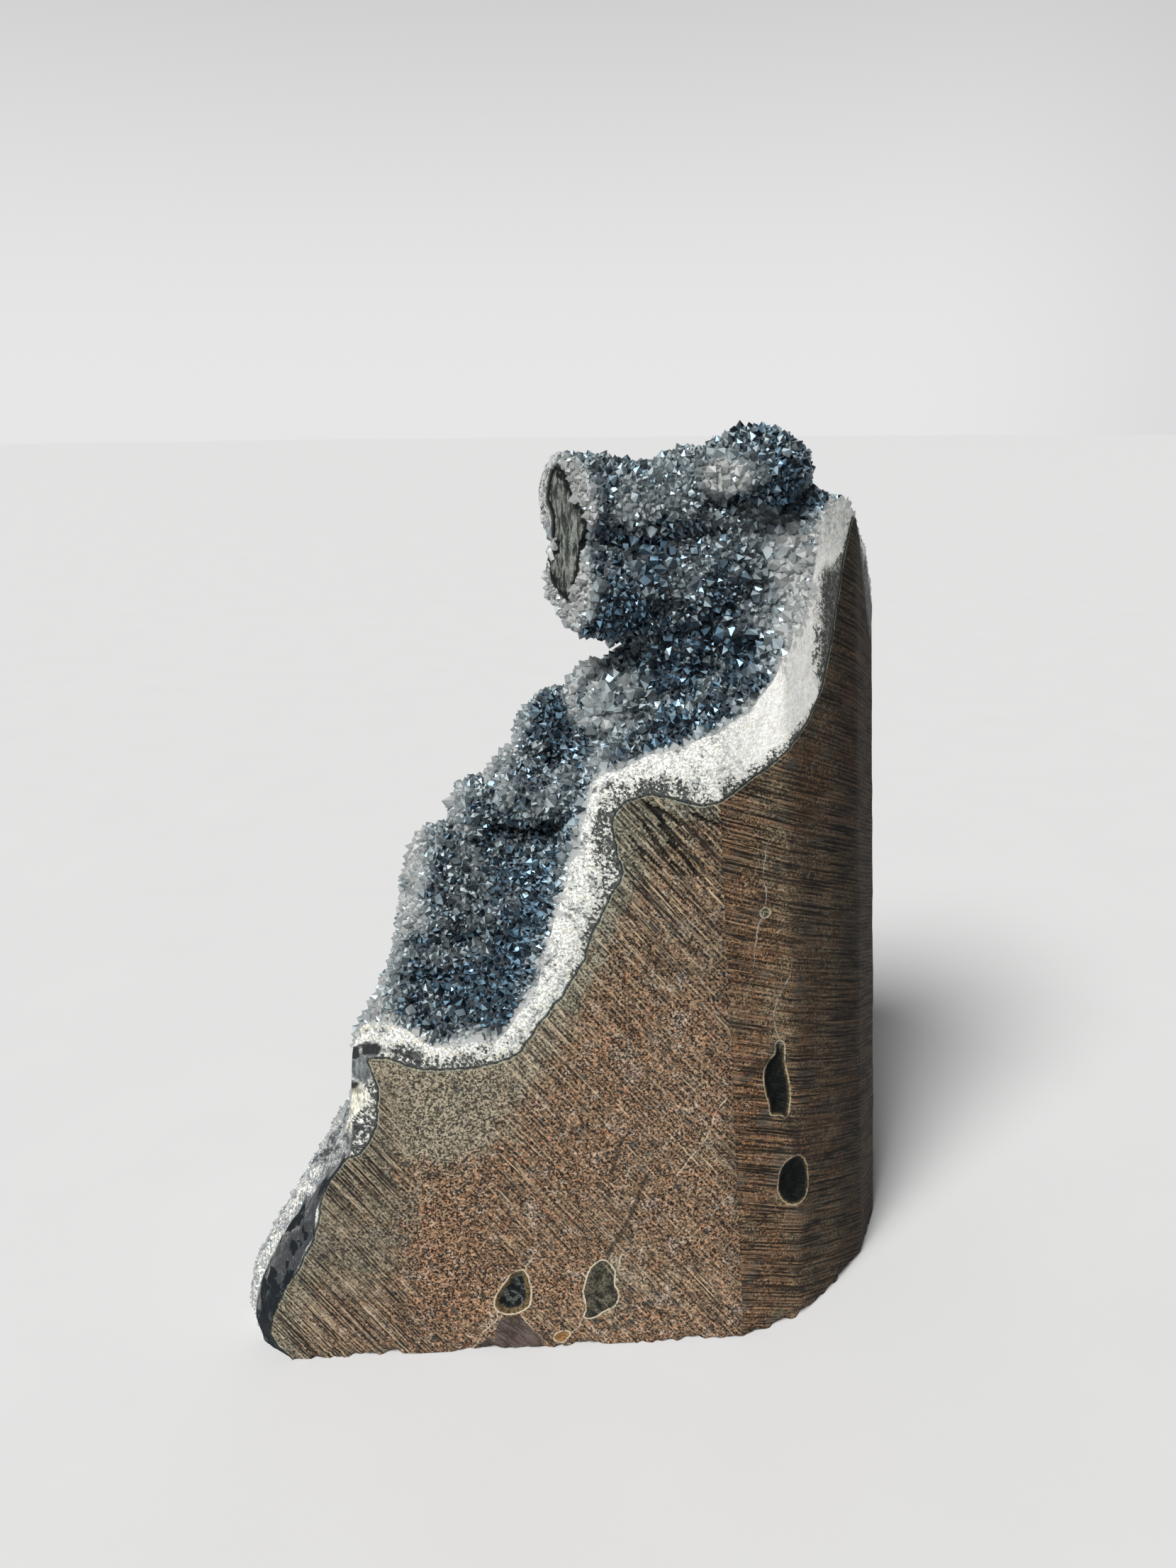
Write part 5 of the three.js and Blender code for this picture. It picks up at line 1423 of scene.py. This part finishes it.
    # nodules, each with a cream outline
    black, grey, tan, wedge = n.attr("nod_black"), n.attr("nod_grey"), n.attr("nod_tan"), n.attr("nod_wedge")
    wob = n.mul(n.sub(n.noise(p, 0.8, 3.0, 0.65), 0.5), 0.7)
    nb, ng, nw = n.add(black, wob), n.add(grey, wob), n.add(wedge, wob)
    across = n.noise(n.vec(n.mul(n.add(x, z), 1.1), n.mul(n.sub(x, z), 0.12), 41.0), 1.0, 2.0, 0.6)
    purple = n.mix(n.step(0.42, 0.60, across), (0.034, 0.026, 0.024), (0.098, 0.076, 0.070))
    sawn = n.mix(n.mul(n.step(-0.15, 0.25, nw), 0.9), sawn, purple)
    inside = n.mix(n.step(0.35, 0.65, blot), (0.014, 0.014, 0.011), (0.085, 0.078, 0.055))
    inside = n.mix(1.0, inside, n.lerp(n.step(0.40, 0.60, grain), 0.45, 1.60), "MULTIPLY")
    inside = n.mix(n.mul(n.step(0.60, 0.68, fine), 0.80), inside, (0.40, 0.36, 0.27))
    sawn = n.mix(n.step(-0.05, 0.20, ng), sawn, inside)
    sawn = n.mix(n.step(0.0, 0.25, tan), sawn, n.mix(n.step(0.3, 0.7, grain), (0.10, 0.050, 0.018), (0.30, 0.165, 0.065)))
    ring = n.mix(n.step(0.36, 0.64, n.noise(p, 1.1, 3.0, 0.7)), (0.026, 0.019, 0.010), (0.145, 0.100, 0.048))
    depth = n.add(nb, n.mul(side, 0.9))
    heart = n.mix(n.step(0.46, 0.60, n.noise(p, 0.42, 3.0, 0.6)), (0.003, 0.004, 0.004), n.mix(side, (0.050, 0.056, 0.052), (0.006, 0.007, 0.006)))
    hole = n.mix(n.step(1.0, 1.8, depth), ring, n.mix(1.0, heart, n.lerp(n.step(0.4, 0.6, grain), 0.4, 1.9), "MULTIPLY"))
    hole = n.mix(n.mul(n.mul(side, n.step(84.0, 87.0, z)), 0.9), hole, inside)
    sawn = n.mix(n.step(0.0, 0.20, nb), sawn, hole)
    every = n.math("MAXIMUM", n.math("MAXIMUM", nb, tan), ng)
    line = n.mul(n.step(-0.34, -0.16, every), n.step(0.26, 0.08, every))
    sawn = n.mix(n.mul(line, n.lerp(n.step(0.36, 0.50, n.noise(p, 0.5, 2.0)), 0.25, 0.95)), sawn, n.mix(side, (0.50, 0.44, 0.33), (0.34, 0.30, 0.21)))
    # veins
    vein, on = n.attr("vein"), n.attr("vein_on")
    v = n.math("ABSOLUTE", n.add(vein, n.mul(n.sub(n.noise(p, 0.8, 2.0), 0.5), 0.9)))
    sawn = n.mix(n.mul(n.mul(n.step(0.26, 0.08, v), on), n.lerp(n.step(0.38, 0.56, n.noise(p, 0.45, 2.0)), 0.22, 0.90)), sawn, n.mix(side, (0.44, 0.39, 0.30), (0.30, 0.29, 0.25)))
    dark = n.attr("dark_line")
    sawn = n.mix(n.mul(n.step(0.9, 0.25, n.add(dark, n.mul(n.sub(blot, 0.5), 0.8))), 0.65), sawn, (0.018, 0.015, 0.012))
    # broken faces
    broken = n.mix(n.step(0.35, 0.65, mott), (0.062, 0.050, 0.039), (0.150, 0.120, 0.090))
    broken = n.mix(n.mul(n.step(0.5, 0.7, blot), 0.6), broken, (0.21, 0.185, 0.145))
    broken = n.mix(n.mul(rust, 0.6), broken, (0.17, 0.085, 0.048))
    broken = n.mix(n.mul(speck, 0.8), broken, (0.016, 0.018, 0.018))
    broken = n.mix(1.0, broken, n.lerp(n.step(0.28, 0.72, grain), 0.40, 1.55), "MULTIPLY")
    navy = n.mix(n.step(0.54, 0.72, n.noise(p, 0.35, 4.0, 0.65, 0.5)), (0.005, 0.008, 0.011), (0.062, 0.073, 0.077))
    broken = n.mix(n.attr("bevel"), broken, navy)
    broken = n.mix(n.mul(n.step(194.0, 197.0, z), n.step(34.0, 30.0, x)), broken, (0.005, 0.006, 0.007))
    colour = n.mix(cut, broken, sawn)
    # the core in the end of the stalactite
    middle = n.mix(n.step(0.38, 0.62, n.noise(n.vec(n.mul(x, 1.0), y, n.mul(z, 0.45)), 0.6, 4.0, 0.7)), (0.018, 0.022, 0.020), (0.190, 0.205, 0.185))
    middle = n.mix(1.0, middle, n.lerp(n.step(0.2, 0.8, grain), 0.55, 1.5), "MULTIPLY")
    middle = n.mix(n.step(1.75, 0.95, n.add(rim, n.mul(n.sub(n.noise(p, 0.40, 3.0, 0.6), 0.5), 4.6))), middle, (0.003, 0.004, 0.004))
    colour = n.mix(core, colour, middle)
    # relief
    cutrelief = n.add(n.mul(n.mul(fine, saw), 0.7), n.mul(n.mul(wave, saw), 0.35))
    cutrelief = n.mul(n.add(n.add(cutrelief, n.mul(n.mul(hair, saw), 0.30)), n.mul(grain, 0.25)), cut)
    relief = n.add(cutrelief, n.mul(n.add(n.mul(n.noise(p, 0.9, 5.0, 0.7), 2.0), n.mul(grain, 0.5)), n.sub(1.0, cut)))
    rough = n.lerp(n.step(0.3, 0.7, grain), 0.62, 0.86)
    n.surface(Base_Color=colour, Roughness=rough, Normal=n.bump(relief, 0.00040, 1.0), IOR=1.5, Specular_IOR_Level=0.12)
    return n.m


def band_material():
    n = Nodes("quartz_milky")
    p, x, y, z = n.place()
    wall = n.attr("wall")
    front = n.mul(n.step(0.4, 0.6, wall), n.step(1.6, 1.4, wall))
    cut = n.mul(n.step(0.4, 0.6, wall), n.step(7.6, 7.4, wall))
    side = n.attr("right")
    end = n.mul(n.step(9.4, 9.6, wall), n.step(10.6, 10.4, wall))
    fine, wave, hair, a, b, aw = saw_lines(n, x, y, z, front)
    rim, skin, spk = n.attr("rim"), n.attr("skin"), n.attr("speckle")
    grain = n.noise(p, 1.5, 2.0, 0.7)
    grit = n.noise(n.vec(n.mul(a, 1.35), n.mul(b, 0.85), y), 1.0, 3.0, 0.75)
    cloud = n.noise(p, 0.33, 4.0, 0.6, 0.4)
    crumb = n.noise(p, 0.62, 5.0, 0.74, 0.6)
    top = n.mul(side, n.step(206.0, 215.0, z))
    inner = n.step(0.15, 0.75, n.math("DIVIDE", rim, n.add(n.add(rim, skin), 0.3)))
    white = n.mix(inner, (0.58, 0.60, 0.565), (0.80, 0.81, 0.775))
    white = n.mix(n.mul(n.step(0.52, 0.66, cloud), 0.65), white, (0.42, 0.46, 0.475))
    white = n.mix(n.mul(side, n.step(215.0, 206.0, z)), white, n.mix(0.9, white, (0.985, 0.985, 0.955)))
    white = n.mix(n.mul(top, 0.85), white, n.mix(n.step(0.42, 0.58, crumb), (0.38, 0.42, 0.43), (0.84, 0.85, 0.80)))
    white = n.mix(1.0, white, n.lerp(n.step(0.42, 0.58, grain), n.lerp(side, 0.60, 0.86), n.lerp(side, 1.18, 1.04)), "MULTIPLY")
    pitted = n.attr("pitted")
    white = n.mix(n.mul(n.step(0.52, 0.64, n.noise(p, 0.5, 2.0, 0.5)), n.lerp(pitted, 0.25, 0.60)), white, (0.66, 0.60, 0.44))
    # painted shade in the pits between the crumbs
    pit_shade = n.mul(n.step(0.455, 0.385, crumb), n.mul(n.lerp(n.step(0.4, 0.65, cloud), 0.45, 0.95), n.lerp(pitted, 0.55, 1.0)))
    white = n.mix(n.mul(pit_shade, n.lerp(side, 1.0, 0.45)), white, (0.040, 0.048, 0.053))
    # salt and pepper towards the rock
    limit = n.add(n.lerp(spk, n.lerp(front, 0.355, 0.400), 0.560), n.mul(n.sub(cloud, 0.5), 0.55))
    pepper = n.step(0.035, -0.035, n.sub(grit, limit))
    dark = n.mix(n.step(0.4, 0.6, grain), (0.005, 0.008, 0.009), (0.060, 0.068, 0.062))
    salt = n.mix(n.mul(spk, 0.60), white, n.mix(n.step(0.4, 0.6, crumb), (0.34, 0.34, 0.30), (0.80, 0.80, 0.74)))
    face = n.mix(n.mul(pepper, n.lerp(n.step(0.02, 0.25, spk), n.lerp(side, 0.70, 0.15), 1.0)), salt, dark)
    face = n.mix(n.mul(n.attr("strip"), 0.93), face, n.mix(n.step(0.50, 0.66, grit), (0.008, 0.010, 0.008), n.mix(n.step(0.45, 0.65, crumb), (0.060, 0.060, 0.046), (0.36, 0.37, 0.31))))
    rimw = n.add(rim, n.mul(n.sub(n.noise(p, 0.9, 2.0), 0.5), 0.5))
    face = n.mix(n.mul(n.step(0.45, 0.12, rimw), 0.9), face, (0.012, 0.018, 0.019))
    # towards the crystals: bluish depth between the points
    face = n.mix(n.mul(n.step(0.35, -0.35, n.add(skin, n.mul(n.sub(crumb, 0.5), 3.0))), 0.45), face, (0.30, 0.345, 0.37))
    fibre = n.noise(n.vec(n.mul(x, 1.3), y, n.mul(z, 0.35)), 0.9, 3.0, 0.7)
    face = n.mix(n.attr("pale"), face, n.mix(n.step(0.40, 0.60, fibre), (0.26, 0.25, 0.20), (0.86, 0.84, 0.72)))
    face = n.mix(n.attr("grey"), face, n.mix(n.step(0.38, 0.62, fibre), (0.055, 0.066, 0.070), (0.200, 0.222, 0.225)))
    # painted shade: the hollows at the lower left, flat and nearly black
    face = n.mix(n.attr("black"), face, n.mix(n.step(0.55, 0.7, grain), (0.002, 0.003, 0.005), (0.040, 0.048, 0.052)))
    # where it is grown over: seen through the crystals
    # the paleness carries painted light on left-facing sides and painted shade in the creases
    paleness_and_painted_light = n.add(n.attr("paleness_and_painted_light"), n.mul(n.sub(cloud, 0.5), 0.35))
    under = n.mix(n.step(0.10, 0.55, paleness_and_painted_light), (0.006, 0.011, 0.017), (0.105, 0.128, 0.137))
    under = n.mix(n.step(0.55, 1.0, paleness_and_painted_light), under, (0.36, 0.385, 0.38))
    lump = n.noise(p, 0.17, 3.0, 0.55, 0.5)
    crustc = n.mix(n.step(0.37, 0.44, lump), (0.022, 0.028, 0.036), (0.25, 0.265, 0.275))
    crustc = n.mix(n.step(0.46, 0.57, lump), crustc, n.mix(n.step(58.0, 66.0, z), (0.54, 0.54, 0.51), (0.66, 0.61, 0.50)))
    crustc = n.mix(n.mul(n.step(0.60, 0.70, n.noise(p, 0.5, 2.0)), 0.4), crustc, (0.50, 0.44, 0.30))
    crustc = n.mix(n.mul(n.attr("behind"), 0.75), crustc, n.mix(n.step(0.38, 0.62, cloud), (0.12, 0.13, 0.135), (0.37, 0.38, 0.365)))
    # painted shade: near black between the grey lumps
    crustc = n.mix(n.attr("greylump"), crustc, n.mix(n.step(0.40, 0.58, lump), (0.012, 0.016, 0.022), (0.270, 0.280, 0.275)))
    crustc = n.mix(n.attr("shoulder"), crustc, n.mix(n.step(0.50, 0.66, crumb), (0.004, 0.006, 0.009), (0.050, 0.062, 0.068)))
    # painted shade in the cleft
    crustc = n.mix(n.attr("cleft_shade"), crustc, n.mix(n.step(0.56, 0.70, crumb), (0.003, 0.005, 0.008), (0.050, 0.062, 0.070)))
    crustc = n.mix(1.0, crustc, n.lerp(n.step(0.40, 0.60, grain), 0.55, 1.25), "MULTIPLY")
    under = n.mix(n.attr("crust"), under, crustc)
    under = n.mix(1.0, under, n.lerp(n.step(0.25, 0.75, grain), 0.65, 1.40), "MULTIPLY")
    colour = n.mix(cut, under, face)
    pale = n.mix(n.step(0.40, 0.60, n.noise(p, 1.3, 3.0, 0.7)), (0.060, 0.070, 0.074), (0.46, 0.47, 0.44))
    pale = n.mix(n.step(1.2, 0.4, n.add(rim, n.mul(n.sub(n.noise(p, 0.5, 3.0, 0.6), 0.5), 1.8))), pale, (0.004, 0.005, 0.006))
    colour = n.mix(end, colour, pale)
    relief = n.add(n.mul(n.add(n.mul(grit, 0.6), n.mul(crumb, 1.1)), cut), n.mul(n.noise(p, 1.1, 5.0, 0.68), n.mul(n.sub(1.0, cut), 1.4)))
    n.surface(Base_Color=colour, Roughness=n.lerp(spk, 0.34, 0.55), Normal=n.bump(relief, 0.00045, 0.9), IOR=1.54)
    return n.m


def point_material():
    n = Nodes("quartz_smoky")
    p, x, y, z = n.place()
    tint, paleness_and_painted_light, facet_light = n.attr("tint"), n.attr("paleness_and_painted_light"), n.attr("facet_light")
    cloud = n.noise(p, 0.6, 3.0, 0.6)
    # the paleness carries painted light on left-facing sides and painted shade in the creases
    t = n.add(n.add(paleness_and_painted_light, n.mul(n.sub(tint, 0.5), 0.34)), n.mul(n.sub(cloud, 0.5), 0.30))
    c = n.mix(n.step(0.02, 0.38, t), (0.215, 0.365, 0.490), (0.66, 0.775, 0.815))
    c = n.mix(n.step(0.38, 0.90, t), c, (0.97, 0.98, 0.955))
    # painted reflection and shade: each facet is made lighter or darker at random, least where the quartz is pale
    pale = n.step(0.15, 0.80, t)
    least, most = n.lerp(pale, 0.02, 0.54), n.lerp(pale, 1.95, 1.12)
    level = n.t.nodes.new("ShaderNodeMapRange")
    n.put(level.inputs["Value"], n.math("POWER", facet_light, 3.1))
    n.put(level.inputs["To Min"], least)
    n.put(level.inputs["To Max"], most)
    c = n.mix(1.0, c, level.outputs["Result"], "MULTIPLY")
    n.surface(Base_Color=c, Roughness=0.03, IOR=1.544, Transmission_Weight=0.66, Specular_Tint=(0.36, 0.56, 0.82, 1))
    v = n.t.nodes.new("ShaderNodeVolumeAbsorption")
    v.inputs["Color"].default_value = (0.66, 0.76, 0.82, 1)
    v.inputs["Density"].default_value = 380.0
    n.t.links.new(v.outputs[0], n.out.inputs["Volume"])
    return n.m


# ------------------------------------------------------------------ stage
def area(name, place, target, size, power, colour=(1, 1, 1)):
    la = bpy.data.lights.new(name, "AREA")
    la.shape = "RECTANGLE"
    la.size, la.size_y = size
    la.energy = power
    la.color = colour
    ob = bpy.data.objects.new(name, la)
    scene.collection.objects.link(ob)
    ob.location = place
    ob.rotation_euler = (Vector(target) - Vector(place)).to_track_quat("-Z", "Y").to_euler()
    return ob


def build_stage():
    bm = bmesh.new()
    bmesh.ops.create_circle(bm, cap_ends=True, radius=14.0, segments=96)
    me = bpy.data.meshes.new("floor")
    bm.to_mesh(me)
    bm.free()
    floor = new_object("floor", me)
    n = Nodes("floor_pale")
    p, x, y, z = n.place()
    c = n.mix(n.noise(p, 0.02, 3.0), (0.486, 0.489, 0.495), (0.508, 0.511, 0.517))
    n.surface(Base_Color=c, Roughness=0.9)
    me.materials.append(n.m)
    # soft light all round, brighter low down and towards the left
    w = bpy.data.worlds.new("world")
    scene.world = w
    w.use_nodes = True
    t = w.node_tree
    back = t.nodes["Background"]
    co = t.nodes.new("ShaderNodeTexCoord")
    sep = t.nodes.new("ShaderNodeSeparateXYZ")
    t.links.new(co.outputs["Generated"], sep.inputs[0])

    def ramp(socket, lo, hi, a, b):
        r = t.nodes.new("ShaderNodeMapRange")
        r.interpolation_type = "SMOOTHSTEP"
        t.links.new(socket, r.inputs["Value"])
        for k, v in (("From Min", lo), ("From Max", hi), ("To Min", a), ("To Max", b)):
            r.inputs[k].default_value = v
        return r.outputs["Result"]

    up = ramp(sep.outputs[2], 0.02, 0.75, *WORLD_UP)
    right = ramp(sep.outputs[0], 0.30, 0.95, 1.0, WORLD_RIGHT)
    ahead = ramp(sep.outputs[1], -0.55, 0.10, WORLD_FRONT, 1.0)
    level = up
    for other in (right, ahead):
        m = t.nodes.new("ShaderNodeMath")
        m.operation = "MULTIPLY"
        t.links.new(level, m.inputs[0])
        t.links.new(other, m.inputs[1])
        level = m.outputs[0]
    t.links.new(level, back.inputs[1])
    back.inputs[0].default_value = (0.995, 0.995, 1.0, 1)
    sun = bpy.data.lights.new("window", "SUN")
    sun.angle = math.radians(24)
    sun.energy = SUN
    sun.color = (1.0, 0.990, 0.972)
    ob = bpy.data.objects.new("window", sun)
    scene.collection.objects.link(ob)
    az, el = math.radians(SUN_FROM[0]), math.radians(SUN_FROM[1])
    to = Vector((math.sin(az) * math.cos(el), -math.cos(az) * math.cos(el), math.sin(el)))
    ob.rotation_euler = to.to_track_quat("Z", "Y").to_euler()


SUN, SUN_FROM = 5.5, (-37, 48)
WORLD_UP = (0.80, 0.24)
WORLD_RIGHT = 0.50
WORLD_FRONT = 0.34


# ------------------------------------------------------------------ making it all
def finish_piece(ob, name, material, node, angle):
    me = ob.data
    put_coords(me, to_frame(coords(me)))
    me.materials.clear()
    me.materials.append(material)
    me.polygons.foreach_set("material_index", np.zeros(len(me.polygons), np.int32))
    if angle is None:
        me.shade_flat()
    else:
        me.shade_smooth()
        me.set_sharp_from_angle(angle=math.radians(angle))
    ob.name = name
    me.name = name
    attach(ob, "root")
    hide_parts(node)


body = whole_object()
rock_inside = rock_surface_object()
rock_tree = tree_of(rock_inside)
roughen(body, rock_tree)
grown_tree = tree_of(body)
sawn_object(body)
only_largest(body, 2000)
work_cuts(body)
band = copy_of(body, "quartz_band")
stone = boolean(body, [copy_of(rock_inside, "inside")], "INTERSECT")
boolean(band, [rock_inside], "DIFFERENCE")
only_largest(stone, 300)
only_largest(band, 300)
mark_stone(stone, rock_tree)
mark_band(band, rock_tree, grown_tree)
points = druse_points(band)

finish_piece(stone, "basalt_rock", stone_material(), "basalt_matrix", 38)
finish_piece(band, "quartz_band", band_material(), "quartz_druse", 38)
glass = point_material()
for ob in points:
    finish_piece(ob, ob.name, glass, "quartz_druse", None)

build_stage()
scene.view_settings.view_transform = "Standard"
